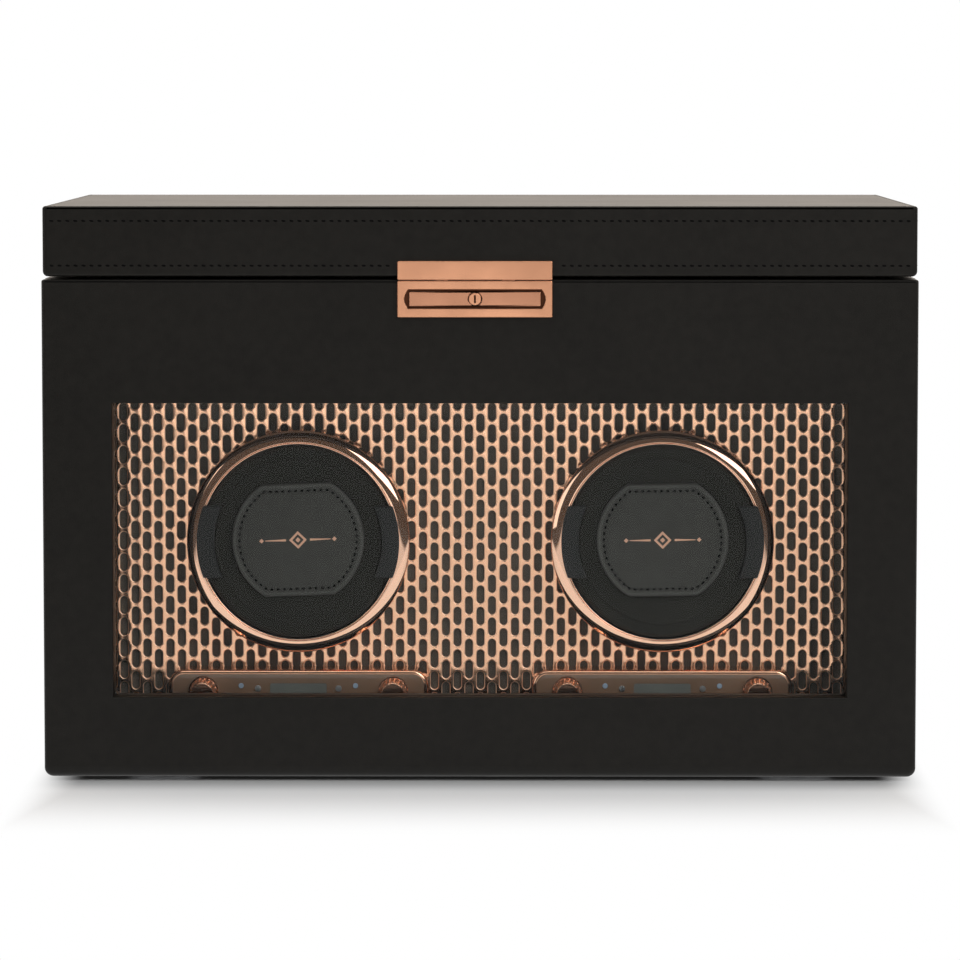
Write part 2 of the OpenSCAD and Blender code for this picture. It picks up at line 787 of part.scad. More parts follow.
// bores for the knobs' bushes, the lamps and the screws
module panel_bores(side) {
    x = drum_x(side);
    for (s = [left, right]) {
        rod(x + s * knob_x, knob_z, stem_r + 1.5, panel_y - 1, plate_y);
        rod(x + s * lamp_x, panel_z + lamp_rise, lamp_r, panel_y - 1, plate_y);
        rod(x + s * screw_x, panel_z + lamp_rise - 1, screw_r * 0.6, panel_y - 1, plate_y);
    }
}

// smoked fascia let into a control panel's face, with the display's shallow field in it
module display(side) {
    x = drum_x(side);
    z0 = panel_z + display_rise;
    color("#3f3e39") difference() {
        slab(panel_y, panel_y + fascia_t) fascia_outline(x);
        slab(panel_y - 1, panel_y + display_sink)
            rounded(x - display_w / 2, x + display_w / 2, z0, z0 + display_h, display_r, display_r);
        panel_bores(side);
    }
}

module indicator_lenses() {
    color("#8fa3b8") for (side = [left, right], s = [left, right])
        let (x = drum_x(side) + s * lamp_x, z = panel_z + lamp_rise) {
            rod(x, z, lamp_r, panel_y - 0.3, panel_y + 3);
            rod(x, z, lamp_r + 0.8, panel_y + panel_wall, panel_y + 4);
        }
}

module panel_screws() {
    color(steel) for (side = [left, right], s = [left, right])
        let (x = drum_x(side) + s * screw_x, z = panel_z + lamp_rise - 1) difference() {
            union() {
                rod(x, z, screw_r, panel_y - 0.4, panel_y);
                rod(x, z, screw_r * 0.6, panel_y - 0.2, panel_y + panel_wall + 3);
            }
            box_at(x - 0.2, x + 0.2, panel_y - 1, panel_y - 0.15, z - screw_r, z + screw_r);
        }
}

// rotary switch bodies behind the panel, with the bush that each knob's stem turns in
module knob_switches() {
    color(plastic) for (side = [left, right], s = [left, right])
        let (x = drum_x(side) + s * knob_x, y = panel_y + panel_wall) difference() {
            union() {
                slab(y, y + switch_depth)
                    rounded(x - switch_w / 2, x + switch_w / 2, knob_z - switch_w / 2,
                    knob_z + switch_w / 2, 1, 1);
                rod(x, knob_z, stem_r + 1.5, panel_y, y + 1);
            }
            rod(x, knob_z, stem_r + run_clear, panel_y - 1, y + switch_depth - 1);
        }
}

// fluted, tapered knob with a dished front and its stem
module knob(x) {
    y1 = panel_y - seam;
    flute_r = 0.5;
    flute_out = 0.2;
    lean = atan((knob_base_d - 1 - knob_front_d) / 2 / (knob_l - 1.6));
    color(copper) union() {
        difference() {
            turned(x, y1, knob_z) polygon([[0, 0], [knob_base_d / 2, 0],
                [knob_base_d / 2, 0.8], [knob_base_d / 2 - 0.5, 1.2],
                [knob_front_d / 2, knob_l - 0.4], [knob_front_d / 2 - 0.4, knob_l],
                [knob_front_d / 2 - 1, knob_l], [knob_front_d / 2 - 1.2, knob_l - 0.5],
                [0, knob_l - 0.5]]);
            for (i = [0 : knob_flutes - 1])
                translate([x, y1 - 1.6, knob_z]) rotate([90, 0, 0])
                    rotate([0, 0, i * 360 / knob_flutes])
                    translate([knob_base_d / 2 - 0.5 + flute_out, 0, 0]) rotate([0, -lean, 0])
                    cylinder(r = flute_r, h = 2 * knob_l);
        }
        rod(x, knob_z, stem_r, y1 - 1, panel_y + panel_wall + switch_depth - 1.5);
    }
}

function knob_place(side, s) = drum_x(side) + s * knob_x;

// circuit board on four spacers that stand on the base panel
module control_board() {
    y0 = housing_out_y + board_back;
    deck = floor_z + spacer_h;
    hole = 5;
    chip = 16;
    relay = 8;
    color("#24553a") union() {
        box_at(-board_w / 2, board_w / 2, y0, y0 + board_d, deck, deck + board_t);
        for (x = [hole - board_w / 2, board_w / 2 - hole], y = [y0 + hole, y0 + board_d - hole])
            translate([x, y, floor_z]) cylinder(r = hole / 2, h = spacer_h + board_t / 2);
        box_at(-chip, 0, y0 + board_d / 3, y0 + board_d / 3 + chip, deck + 1, deck + board_t + 2);
        for (x = [-board_w / 3, board_w / 8, board_w / 4]) box_at(x, x + relay,
            y0 + hole, y0 + hole + relay, deck + 1, deck + board_t + relay);
        for (x = [-board_w / 3, -board_w / 5]) translate([x, y0 + board_d * 0.75, deck + 1])
            cylinder(r = relay / 2, h = relay * 1.5);
    }
}

// one-piece insert: front row of watch bays and the jewellery bay, two open bays behind
module storage_tray() {
    color(suede) difference() {
        box_at(-tray_w / 2, tray_w / 2, tray_y, tray_back_y, shelf_top_z, tray_top_z);
        for (i = [0 : bays - 1]) box_at(bay_x + i * (bay_w + tray_wall),
            bay_x + i * (bay_w + tray_wall) + bay_w, bay_y, bay_y + bay_d, bay_z, top_z);
        box_at(jewel_x, jewel_x + jewel_w, bay_y, bay_y + bay_d, bay_z, top_z);
        for (i = [0, 1]) box_at(bay_x + i * (strip_w + tray_wall),
            bay_x + i * (strip_w + tray_wall) + strip_w, strip_y, strip_y + strip_d, bay_z, top_z);
    }
}

// soft watch cushions, one in each watch bay
module storage_cushions() {
    color("#8b857b") for (i = [0 : bays - 1])
        let (x0 = bay_x + i * (bay_w + tray_wall) + cushion_gap)
        bar_along_x(x0, x0 + bay_w - 2 * cushion_gap)
            rounded(bay_y + cushion_gap, bay_y + bay_d - cushion_gap, bay_z, bay_z + cushion_h, 8, 12);
}

// padded rolls of the jewellery bay, side by side on the bay's floor
module ring_roll() {
    step = (bay_d - 2) / rolls;
    color("#8b857b") bar_along_x(jewel_x + 1, jewel_x + jewel_w - 1) union() {
        plain_rect(bay_y + 1, bay_y + bay_d - 1, bay_z, bay_z + roll_h - step / 2);
        for (i = [0 : rolls - 1])
            translate([bay_y + 1 + step * (i + 0.5), bay_z + roll_h - step / 2])
                circle(r = step / 2 - 0.4);
    }
}

function cover_screw_places() =
    [for (x = [-1, 1], z = [0, 1])
        [x * (cover_w / 2 - cover_lap / 2), cover_z + cover_lap / 2 + z * (cover_h - cover_lap)]];

inlet_x = cover_w / 2 - cover_lap - inlet_flange_d;
inlet_z = cover_z + cover_lap + inlet_flange_d / 2 + 2;

module rear_cover() {
    vent_step = 5.5;
    vent_r = 1.2;
    vent_w = cover_w / 2 - cover_lap;
    color(plastic) translate([0, rear_y - cover_t, 0]) slab(0, cover_t) difference() {
        rounded(-cover_w / 2 + 0.2, cover_w / 2 - 0.2, cover_z + 0.2, cover_z + cover_h - 0.2, 3, 3);
        for (i = [0 : vents - 1]) let (z = cover_z + cover_lap + 4 + i * vent_step)
            translate([-vent_w / 2 - 14, z]) union() {
                translate([vent_r, 0]) square([vent_w - 2 * vent_r, 2 * vent_r]);
                for (x = [vent_r, vent_w - vent_r]) translate([x, vent_r]) circle(r = vent_r);
            }
        translate([inlet_x, inlet_z]) circle(d = inlet_flange_d - 2);
        for (at = cover_screw_places()) translate(at) circle(r = 1.6);
    }
}

module cover_screws() {
    color(steel) for (at = cover_screw_places()) difference() {
        union() {
            rod(at[0], at[1], 1.5, rear_in_y + 1, rear_y + 0.2);
            rod(at[0], at[1], 2.8, rear_y, rear_y + 1.2);
        }
        for (turn = [0, 90]) translate([at[0], rear_y + 0.5, at[1]]) rotate([0, turn, 0])
            box_at(-0.4, 0.4, 0, 2, -1.7, 1.7);
    }
}

// socket for a low-voltage plug, with its centre pin and its nut inside
module power_inlet() {
    color("#18181a") difference() {
        union() {
            rod(inlet_x, inlet_z, inlet_flange_d / 2, rear_y, rear_y + 1.2);
            rod(inlet_x, inlet_z, inlet_flange_d / 2 - 1.1, rear_y - 12, rear_y + 0.5);
            rod(inlet_x, inlet_z, inlet_flange_d / 2 + 1, rear_y - cover_t - 3, rear_y - cover_t);
        }
        difference() {
            rod(inlet_x, inlet_z, inlet_d / 2, rear_y - 10, rear_y + 2);
            rod(inlet_x, inlet_z, 1, rear_y - 11, rear_y);
        }
    }
}

// knuckle spans of a hinge: outer two on the fixed leaf, the middle one on the moving leaf
function knuckle_span(x, w, i) =
    let (a = x - w / 2 + i * w / 3, g = knuckle_gap / 2)
    [a + (i == 0 ? 0 : g), a + w / 3 - (i == 2 ? 0 : g)];

module knuckle(span, y, z, r, bore) {
    translate([span[0], y, z]) rotate([0, 90, 0]) difference() {
        cylinder(r = r, h = span[1] - span[0]);
        translate([0, 0, -1]) cylinder(r = bore, h = span[1] - span[0] + 2);
    }
}

// lid hinge leaves: the low ones on the rear panel, the high ones on the lid
module lid_leaf(side, moving) {
    x = side * lid_hinge_x;
    w = lid_hinge_w;
    spans = moving ? [1] : [0, 2];
    bore = moving ? pin_r + pin_clear : pin_r;
    z0 = moving ? lid_z + 0.4 : top_z - leaf_h;
    z1 = moving ? lid_z + leaf_h : top_z - 0.4;
    root_z = moving ? lid_axis_z : z1 - 0.1;
    difference() {
        union() {
            slab(rear_y, rear_y + leaf_t) rounded(x - w / 2, x + w / 2, z0, z1, 1, 1);
            for (i = spans) let (s = knuckle_span(x, w, i)) {
                knuckle(s, lid_axis_y, lid_axis_z, lid_knuckle_r, bore);
                box_at(s[0], s[1], rear_y, rear_y + leaf_t - 0.2,
                    moving ? lid_axis_z : z1 - 1, moving ? z0 + 1 : lid_axis_z);
            }
        }
        for (i = moving ? [0, 2] : [1]) let (s = knuckle_span(x, w, i))
            translate([s[0] - knuckle_gap, lid_axis_y, lid_axis_z]) rotate([0, 90, 0])
                cylinder(r = lid_knuckle_r + 0.4, h = s[1] - s[0] + 2 * knuckle_gap);
        translate([x - w / 2 - 1, lid_axis_y, lid_axis_z]) rotate([0, 90, 0])
            cylinder(r = bore, h = w + 2);
        for (s = [left, right])
            rod(x + s * w / 3, (z0 + z1) / 2 + (moving ? 1 : -1), 1.3, rear_y - 1, rear_y + 3);
    }
}

module lid_hinge_leaves() {
    color(copper) for (side = [left, right]) lid_leaf(side, false);
}

module lid_hinge_straps() {
    color(copper) for (side = [left, right]) lid_leaf(side, true);
}

// fixed door leaf: outer knuckles with an arm back into the base panel's front edge
module door_leaf(side) {
    x = side * door_hinge_x;
    arm_z = door_axis_z + 0.2;
    arm_t = door_knuckle_r - 0.4;
    for (i = [0, 2]) let (s = knuckle_span(x, door_hinge_w, i)) difference() {
        union() {
            translate([s[0], door_axis_y, door_axis_z]) rotate([0, 90, 0])
                cylinder(r = door_knuckle_r, h = s[1] - s[0]);
            box_at(s[0], s[1], door_axis_y, carcass_y + 14, arm_z, arm_z + arm_t);
        }
        translate([s[0] - 1, door_axis_y, door_axis_z]) rotate([0, 90, 0])
            cylinder(r = pin_r, h = s[1] - s[0] + 2);
    }
}

module door_hinge_leaves() {
    color(steel) for (side = [left, right]) door_leaf(side);
}

// moving door leaf: middle knuckle with a tab up into a pocket of the door
module door_strap(side) {
    x = side * door_hinge_x;
    s = knuckle_span(x, door_hinge_w, 1);
    difference() {
        union() {
            translate([s[0], door_axis_y, door_axis_z]) rotate([0, 90, 0])
                cylinder(r = door_knuckle_r, h = s[1] - s[0]);
            box_at(s[0], s[1], door_axis_y - door_knuckle_r, door_axis_y - door_knuckle_r + 1.6,
                door_axis_z, door_axis_z + door_knuckle_r + 1.2);
            box_at(s[0], s[1], door_axis_y - door_knuckle_r, door_axis_y + 6,
                door_axis_z + door_knuckle_r + 0.3, door_axis_z + door_knuckle_r + 1.8);
        }
        translate([s[0] - 1, door_axis_y, door_axis_z]) rotate([0, 90, 0])
            cylinder(r = pin_r + pin_clear, h = s[1] - s[0] + 2);
    }
}

module door_hinge_straps() {
    color(steel) for (side = [left, right]) door_strap(side);
}

module hinge_pins() {
    color(steel) for (side = [left, right]) {
        translate([side * lid_hinge_x - lid_hinge_w / 2, lid_axis_y, lid_axis_z])
            rotate([0, 90, 0]) cylinder(r = pin_r, h = lid_hinge_w);
        translate([side * door_hinge_x - door_hinge_w / 2, door_axis_y, door_axis_z])
            rotate([0, 90, 0]) cylinder(r = pin_r, h = door_hinge_w);
    }
}

// leather-covered lid, open below
module lid_shell() {
    z1 = lid_z + lid_h;
    w = box_w / 2;
    color(leather) difference() {
        intersection() {
            slab(front_y, rear_y) rounded(-w, w, lid_z, z1, foot_r, lid_edge_r);
            bar_along_x(-w, w) rounded(front_y, rear_y, lid_z, z1, lid_rim_r, lid_edge_r);
            translate([0, 0, lid_z]) linear_extrude(height = lid_h)
                rounded(-w, w, front_y, rear_y, corner_r, corner_r);
        }
        box_at(-w + lid_rim_t, w - lid_rim_t, front_y + lid_rim_t, rear_y - lid_rim_t,
            lid_z - 1, z1 - lid_top_t);
    }
}

module lid_lining() {
    z1 = lid_z + lid_h - lid_top_t;
    w = box_w / 2 - lid_rim_t - 0.5;
    color(suede) bar_along_x(-w, w) rounded(front_y + lid_rim_t + 0.5, rear_y - lid_rim_t - 0.5,
        z1 - lining_t, z1, lining_t / 2 - 0.1, 0.5);
}

// upper latch plate on the lid, with two tongues that hang into the door's top edge
module latch_strike() {
    y0 = front_y + 1;
    z0 = lid_z - 0.6;
    low_z = top_z - tongue_reach;
    color(copper) union() {
        slab(plate_face_y, front_y)
            rounded(latch_x - latch_w / 2, latch_x + latch_w / 2, z0, z0 + strike_h, 0.6, latch_r);
        box_at(latch_x - latch_w / 2 + 1, latch_x + latch_w / 2 - 1, plate_face_y + 0.4,
            y0 + tongue_t, z0, lid_z);
        for (s = [left, right]) let (x = latch_x + s * tongue_pitch / 2)
            box_at(x - tongue_w / 2, x + tongue_w / 2, y0, y0 + tongue_t, low_z, lid_z);
    }
}

// notches that the tongues hang in, open to the rear so that lid and door open alone
module tongue_notches() {
    for (s = [left, right]) let (x = latch_x + s * tongue_pitch / 2)
        box_at(x - tongue_w / 2 - 0.6, x + tongue_w / 2 + 0.6, front_y + 0.4, door_back_y + 1,
            top_z - tongue_reach - 0.6, top_z + 1);
}

// space around the door hinges, open to the rear and below
module hinge_room(side) {
    x = side * door_hinge_x;
    w = door_hinge_w + 1;
    translate([x - w / 2, door_axis_y, door_axis_z]) rotate([0, 90, 0])
        cylinder(r = door_knuckle_r + 0.3, h = w);
    box_at(x - w / 2, x + w / 2, door_axis_y, door_back_y + 1, 0,
        door_axis_z + door_knuckle_r + 0.3);
}

// leather-covered door frame with the window and the glass's rebate behind it
module door_panel() {
    w = box_w / 2;
    glass_z = window_z - glass_lap;
    color(leather) difference() {
        intersection() {
            slab(front_y, door_back_y) rounded(-w, w, pad_t, top_z, foot_r, 1);
            bar_along_x(-w, w) rounded(front_y, door_back_y, pad_t, top_z, door_edge_r, 1);
            translate([0, 0, pad_t]) linear_extrude(height = carcass_h)
                rounded(-w, w, front_y, door_back_y, 1.5, 0.5);
        }
        slab(front_y - 1, door_back_y + 1)
            rounded(-window_w / 2, window_w / 2, window_z, window_z + window_h, 0.6, 0.6);
        box_at(-glass_w / 2, glass_w / 2, glass_y, door_back_y + 1, glass_z, glass_z + glass_h);
        for (side = [left, right]) {
            hinge_room(side);
            difference() {
                door_strap(side);
                hinge_room(side);
            }
        }
        tongue_notches();
        latch_body();
    }
}

module window_glass() {
    glass_z = window_z - glass_lap;
    color([0.8, 0.85, 0.85, 0.35]) box_at(-glass_w / 2 + seam, glass_w / 2 - seam, glass_y,
        glass_y + glass_t, glass_z + seam, glass_z + glass_h - seam);
}

module glass_retainer() {
    glass_z = window_z - glass_lap;
    x = window_w / 2 - retainer_show;
    color("#101010") slab(glass_y + glass_t, door_back_y) difference() {
        plain_rect(-glass_w / 2 + seam, glass_w / 2 - seam, glass_z + seam, glass_z + glass_h - seam);
        rounded(-x, x, window_z + retainer_show, window_z + window_h - retainer_show,
            retainer_r, retainer_r);
    }
}

// the sunk body of the latch
module latch_body() {
    slab(front_y - 0.1, front_y + latch_body_t)
        rounded(latch_x - body_w / 2, latch_x + body_w / 2,
            latch_z - body_h / 2, latch_z + body_h / 2, 1, 1);
}

// outline of the push bar: a bar with a round boss in its middle
module bar_outline(grow) {
    union() {
        translate([latch_x, latch_z]) circle(d = boss_d + 2 * grow);
        rounded(latch_x - bar_w / 2 - grow, latch_x + bar_w / 2 + grow,
            latch_z - bar_h / 2 - grow, latch_z + bar_h / 2 + grow, 0.5, 0.5);
    }
}

// lower latch plate: scooped recess, slot of the bar and the sunk body behind it
module latch_plate() {
    scoop_r = recess_h / 2;
    low = latch_z - latch_h / 2;
    color(copper) difference() {
        union() {
            slab(plate_face_y, front_y) rounded(latch_x - latch_w / 2, latch_x + latch_w / 2,
                low, low + latch_h, latch_r, 0.6);
            latch_body();
        }
        slab(plate_face_y - 1, recess_y)
            rounded(latch_x - recess_w / 2, latch_x + recess_w / 2,
                latch_z - recess_h / 2, latch_z + recess_h / 2, scoop_r - 0.1, scoop_r - 0.1);
        slab(plate_face_y - 1, front_y + latch_body_t - 1.2) bar_outline(slide_clear);
    }
}

module latch_bar() {
    color(copper) slab(bar_y, bar_y + bar_t) difference() {
        bar_outline(0);
        translate([latch_x, latch_z]) circle(d = plug_d + 2 * slide_clear);
    }
}

// round lock plug that turns in the bar's boss, with a plain keyway
module lock_plug() {
    color("#e2b79a") difference() {
        rod(latch_x, latch_z, plug_d / 2, bar_y - 0.2, bar_y + bar_t);
        box_at(latch_x - 0.3, latch_x + 0.3, bar_y - 1, bar_y + 2, latch_z - 1.4, latch_z + 1.4);
    }
}

// two light coil springs between the bar and the back of the latch body
module latch_springs() {
    y0 = bar_y + bar_t;
    y1 = front_y + latch_body_t - 1.2;
    color(steel) for (s = [left, right]) let (x = latch_x + s * bar_w / 3) difference() {
        rod(x, latch_z, 1.8, y0, y1);
        rod(x, latch_z, 1.2, y0 - 1, y1 + 1);
    }
}

base_pad();
base_panel();
side_panel(left);  // side_panel_left
side_panel(right);  // side_panel_right
rear_panel();
front_rail();
storage_floor();
pattern_plate();
plate_backing();
drum_housing(left);  // drum_housing_left
drum_housing(right);  // drum_housing_right
drum_axle(left);  // drum_axle_left
drum_axle(right);  // drum_axle_right
motor(left);  // motor_left
motor(right);  // motor_right
control_panel(left);  // control_panel_left
control_panel(right);  // control_panel_right
display(left);  // display_left
display(right);  // display_right
indicator_lenses();
panel_screws();
knob_switches();
control_board();
storage_tray();
storage_cushions();
ring_roll();
rear_cover();
cover_screws();
power_inlet();
lid_hinge_leaves();
door_hinge_leaves();
hinge_pins();
lid_shell();
lid_lining();
lid_hinge_straps();
latch_strike();
door_panel();
window_glass();
glass_retainer();
door_hinge_straps();
latch_plate();
latch_bar();
latch_springs();
lock_plug();
drum_cup(left);  // drum_cup_left
drum_cup(right);  // drum_cup_right
bezel_ring(left);  // bezel_ring_left
bezel_ring(right);  // bezel_ring_right
cuff_pad(left);  // cuff_pad_left
cuff_pad(right);  // cuff_pad_right
cuff_patch(left);  // cuff_patch_left
cuff_patch(right);  // cuff_patch_right
cuff_clips(left);  // cuff_clips_left
cuff_clips(right);  // cuff_clips_right
motor_pinion(left);  // motor_pinion_left
motor_pinion(right);  // motor_pinion_right
knob(knob_place(left, left));  // knob_left_outer
knob(knob_place(left, right));  // knob_left_inner
knob(knob_place(right, left));  // knob_right_inner
knob(knob_place(right, right));  // knob_right_outer
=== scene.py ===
import json
import math
import random
import bpy
import bmesh
from mathutils import Matrix, Vector
from mathutils.geometry import delaunay_2d_cdt


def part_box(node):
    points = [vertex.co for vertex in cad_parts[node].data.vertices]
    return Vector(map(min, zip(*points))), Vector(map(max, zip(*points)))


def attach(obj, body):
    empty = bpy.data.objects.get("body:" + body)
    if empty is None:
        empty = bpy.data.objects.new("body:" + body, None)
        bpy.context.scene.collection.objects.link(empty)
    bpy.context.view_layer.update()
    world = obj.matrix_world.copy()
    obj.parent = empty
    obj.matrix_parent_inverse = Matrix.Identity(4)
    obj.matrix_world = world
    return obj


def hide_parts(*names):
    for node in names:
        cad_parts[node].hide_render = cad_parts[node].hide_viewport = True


# a winder box for two watches: copper and velvet behind a glass door, in black leather
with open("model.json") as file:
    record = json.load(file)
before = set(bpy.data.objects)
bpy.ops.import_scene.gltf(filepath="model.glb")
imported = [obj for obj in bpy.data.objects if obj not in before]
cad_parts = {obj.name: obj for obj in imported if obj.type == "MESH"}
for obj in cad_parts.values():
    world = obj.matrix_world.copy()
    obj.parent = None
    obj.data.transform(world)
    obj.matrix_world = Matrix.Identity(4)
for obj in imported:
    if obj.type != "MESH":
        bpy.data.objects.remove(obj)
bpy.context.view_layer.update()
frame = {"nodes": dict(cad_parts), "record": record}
mm = 0.001
random.seed(7)
scene = bpy.context.scene
print("frame loaded:", len(frame["nodes"]), "nodes")

# camera and studio
studio = {
    # camera, in metres
    "distance": 1.74, "eyeHeight": 0.262, "eyeX": 0.0115, "aimX": 0.0001, "aimZ": 0.1146,
    "frontY": -0.095, "fieldWidth": 0.3615, "sensor": 36.0, "shiftY": -0.05, "clip": (0.05, 50),
    # the room round the object
    "roomColor": (1.0, 0.89, 0.78), "roomLight": 0.085, "backdropLight": 0.9, "backdropFade": (0.05, 0.55),
    # the floor, where it shows the lamps' shade close to the box, with a painted shadow where it meets the
    # box
    "floorSize": 6, "floorColor": (0.92, 0.93, 0.94), "shadeAcross": (0.150, 0.172),
    "shadeAlong": (0.105, 0.225), "footprint": (0.163, 0.093), "contactReach": 0.030, "contactShade": 0.5,
    # painted reflection: how brightly the floor glows when seen in mirror-like copper, near, to the sides,
    # ahead and at least
    "mirroredNear": (-0.46, -0.34), "mirroredSide": (0.32, 0.50), "mirroredAhead": 0.80, "mirroredDark": 0.10,
}


def linked(name, data):
    # a new object in the scene
    thing = bpy.data.objects.new(name, data)
    scene.collection.objects.link(thing)
    return thing


def meshOf(bm, name):
    mesh = bpy.data.meshes.new(name)
    bm.to_mesh(mesh)
    bm.free()
    return mesh


def makeCamera(s):
    data = bpy.data.cameras.new("productCamera")
    camera = linked("productCamera", data)
    camera.location = (s["eyeX"], s["frontY"] - s["distance"], s["eyeHeight"])
    aim = Vector((s["aimX"], s["frontY"], s["aimZ"] - s["shiftY"] * s["fieldWidth"]))
    look = aim - camera.location
    camera.rotation_euler = look.to_track_quat("-Z", "Y").to_euler()
    data.sensor_width = s["sensor"]
    data.lens = s["sensor"] * look.length / s["fieldWidth"]
    data.shift_y = s["shiftY"]
    data.clip_start, data.clip_end = s["clip"]
    scene.camera = camera


def remap(tree, value, low, high, outLow, outHigh, smooth=False):
    node = tree.nodes.new("ShaderNodeMapRange")
    if smooth:
        node.interpolation_type = "SMOOTHSTEP"
    tree.links.new(value, node.inputs["Value"])
    for name, level in zip(("From Min", "From Max", "To Min", "To Max"), (low, high, outLow, outHigh)):
        node.inputs[name].default_value = level
    return node.outputs["Result"]


def mathNode(tree, kind, a, b):
    node = tree.nodes.new("ShaderNodeMath")
    node.operation = kind
    for socket, value in zip(node.inputs, (a, b)):
        if isinstance(value, (int, float)):
            socket.default_value = value
        else:
            tree.links.new(value, socket)
    return node.outputs[0]


def clearedTree(owner):
    owner.use_nodes = True
    owner.node_tree.nodes.clear()
    return owner.node_tree


def separated(tree, kind):
    # the X, Y and Z of a texture coordinate
    coord = tree.nodes.new("ShaderNodeTexCoord")
    parts = tree.nodes.new("ShaderNodeSeparateXYZ")
    tree.links.new(coord.outputs[kind], parts.inputs[0])
    return parts.outputs


def mixSurface(tree, out, share, first, second):
    mix = tree.nodes.new("ShaderNodeMixShader")
    tree.links.new(share, mix.inputs["Fac"])
    tree.links.new(first.outputs[0], mix.inputs[1])
    tree.links.new(second.outputs[0], mix.inputs[2])
    tree.links.new(mix.outputs[0], out.inputs["Surface"])


def directView(tree):
    # 1 for what the camera sees straight on or through glass, and the count of mirrorings so far
    path = tree.nodes.new("ShaderNodeLightPath").outputs
    bounced = mathNode(tree, "ADD", path["Glossy Depth"], path["Diffuse Depth"])
    unbounced = mathNode(tree, "LESS_THAN", bounced, 0.5)
    through = mathNode(tree, "MULTIPLY", path["Is Transmission Ray"], unbounced)
    return mathNode(tree, "MAXIMUM", path["Is Camera Ray"], through), path["Glossy Depth"]


def makeWorld(s):
    # white to the camera; to the object, a white backdrop behind and a dark room in front
    world = bpy.data.worlds.new("studioWorld")
    scene.world = world
    tree = clearedTree(world)
    out = tree.nodes.new("ShaderNodeOutputWorld")
    seen = tree.nodes.new("ShaderNodeBackground")
    seen.inputs["Color"].default_value = (1, 1, 1, 1)
    room = tree.nodes.new("ShaderNodeBackground")
    room.inputs["Color"].default_value = (*s["roomColor"], 1)
    depth = separated(tree, "Generated")["Y"]
    level = remap(tree, depth, *s["backdropFade"], s["roomLight"], s["backdropLight"], True)
    tree.links.new(level, room.inputs["Strength"])
    mixSurface(tree, out, directView(tree)[0], room, seen)


def makeFloor(s):
    bm = bmesh.new()
    bmesh.ops.create_grid(bm, x_segments=1, y_segments=1, size=s["floorSize"])
    mesh = meshOf(bm, "floor")
    linked("floor", mesh)
    mat = bpy.data.materials.new("paleFloor")
    mesh.materials.append(mat)
    tree = clearedTree(mat)
    out = tree.nodes.new("ShaderNodeOutputMaterial")
    diffuse = tree.nodes.new("ShaderNodeBsdfDiffuse")
    glow = tree.nodes.new("ShaderNodeEmission")
    spot = separated(tree, "Object")
    across, along = (mathNode(tree, "ABSOLUTE", spot[axis], 0) for axis in "XY")
    away = mathNode(tree, "MAXIMUM", remap(tree, across, *s["shadeAcross"], 0, 1, True),
                    remap(tree, along, *s["shadeAlong"], 0, 1, True))
    # painted shadow: the floor's colour is darker where it meets the box
    halfX, halfY = s["footprint"]
    near = mathNode(tree, "MAXIMUM", mathNode(tree, "SUBTRACT", across, halfX),
                    mathNode(tree, "SUBTRACT", along, halfY))
    tint = tree.nodes.new("ShaderNodeVectorMath")
    tint.operation = "SCALE"
    tint.inputs[0].default_value = s["floorColor"]
    tree.links.new(remap(tree, near, 0, s["contactReach"], s["contactShade"], 1, True), tint.inputs["Scale"])
    tree.links.new(tint.outputs["Vector"], diffuse.inputs["Color"])
    direct, mirrorings = directView(tree)
    seen = mathNode(tree, "MULTIPLY", direct, away)
    # painted reflection: the floor glows for mirrored rays only, brightly close in front of the box and dimly
    # far out to the sides
    close = remap(tree, spot["Y"], *s["mirroredNear"], 0, 1)
    ahead = remap(tree, across, *s["mirroredSide"], 1, 0)
    mirrorGlow = mathNode(tree, "MAXIMUM", close, mathNode(tree, "MULTIPLY", ahead, s["mirroredAhead"]))
    mirrorGlow = mathNode(tree, "MAXIMUM", mirrorGlow, s["mirroredDark"])
    mirrored = mathNode(tree, "MINIMUM", mirrorings, 1.0)
    shown = mathNode(tree, "MULTIPLY", mirrored, mathNode(tree, "SUBTRACT", mirrorGlow, 1.0))
    tree.links.new(mathNode(tree, "ADD", shown, 1.0), glow.inputs["Strength"])
    mixSurface(tree, out, mathNode(tree, "MAXIMUM", seen, mirrored), diffuse, glow)


def areaLight(name, place, aim, size, power, color=(1, 1, 1)):
    data = bpy.data.lights.new(name, "AREA")
    data.shape = "RECTANGLE"
    data.size, data.size_y = size
    data.energy = power
    data.color = color
    lamp = linked(name, data)
    lamp.location = place
    lamp.rotation_euler = (Vector(aim) - Vector(place)).to_track_quat("-Z", "Y").to_euler()
    lamp.visible_camera = False


# place, aim, size, power and colour
lights = {
    "keySoftbox": ((0.85, -1.15, 1.0), (0, 0, 0.1), (1.05, 1.05), 11),
    "overheadSoftbox": ((-0.1, -0.5, 1.5), (0, 0, 0.1), (1.6, 1.0), 8),
    "leftSoftbox": ((-1.5, -0.9, 0.7), (0, 0, 0.1), (0.8, 1.2), 4),
    "frontCard": ((0.1, -2.3, 0.085), (0, 0, 0.1), (0.9, 0.17), 0.53),
    "rearSoftbox": ((0, 1.9, 0.9), (0, 0, 0.1), (1.6, 0.8), 5, (1.0, 0.91, 0.82)),
}
makeCamera(studio)
makeWorld(studio)
makeFloor(studio)
for lightName, settings in lights.items():
    areaLight(lightName, *settings)
scene.view_settings.view_transform = "Standard"
print("studio ready")

# materials


def newMaterial(name):
    mat = bpy.data.materials.new(name)
    mat.use_nodes = True
    return mat, mat.node_tree, mat.node_tree.nodes["Principled BSDF"]


def objectCoords(tree, scale=(1, 1, 1)):
    coord = tree.nodes.new("ShaderNodeTexCoord")
    place = tree.nodes.new("ShaderNodeMapping")
    place.inputs["Scale"].default_value = scale
    tree.links.new(coord.outputs["Object"], place.inputs["Vector"])
    return place.outputs["Vector"]


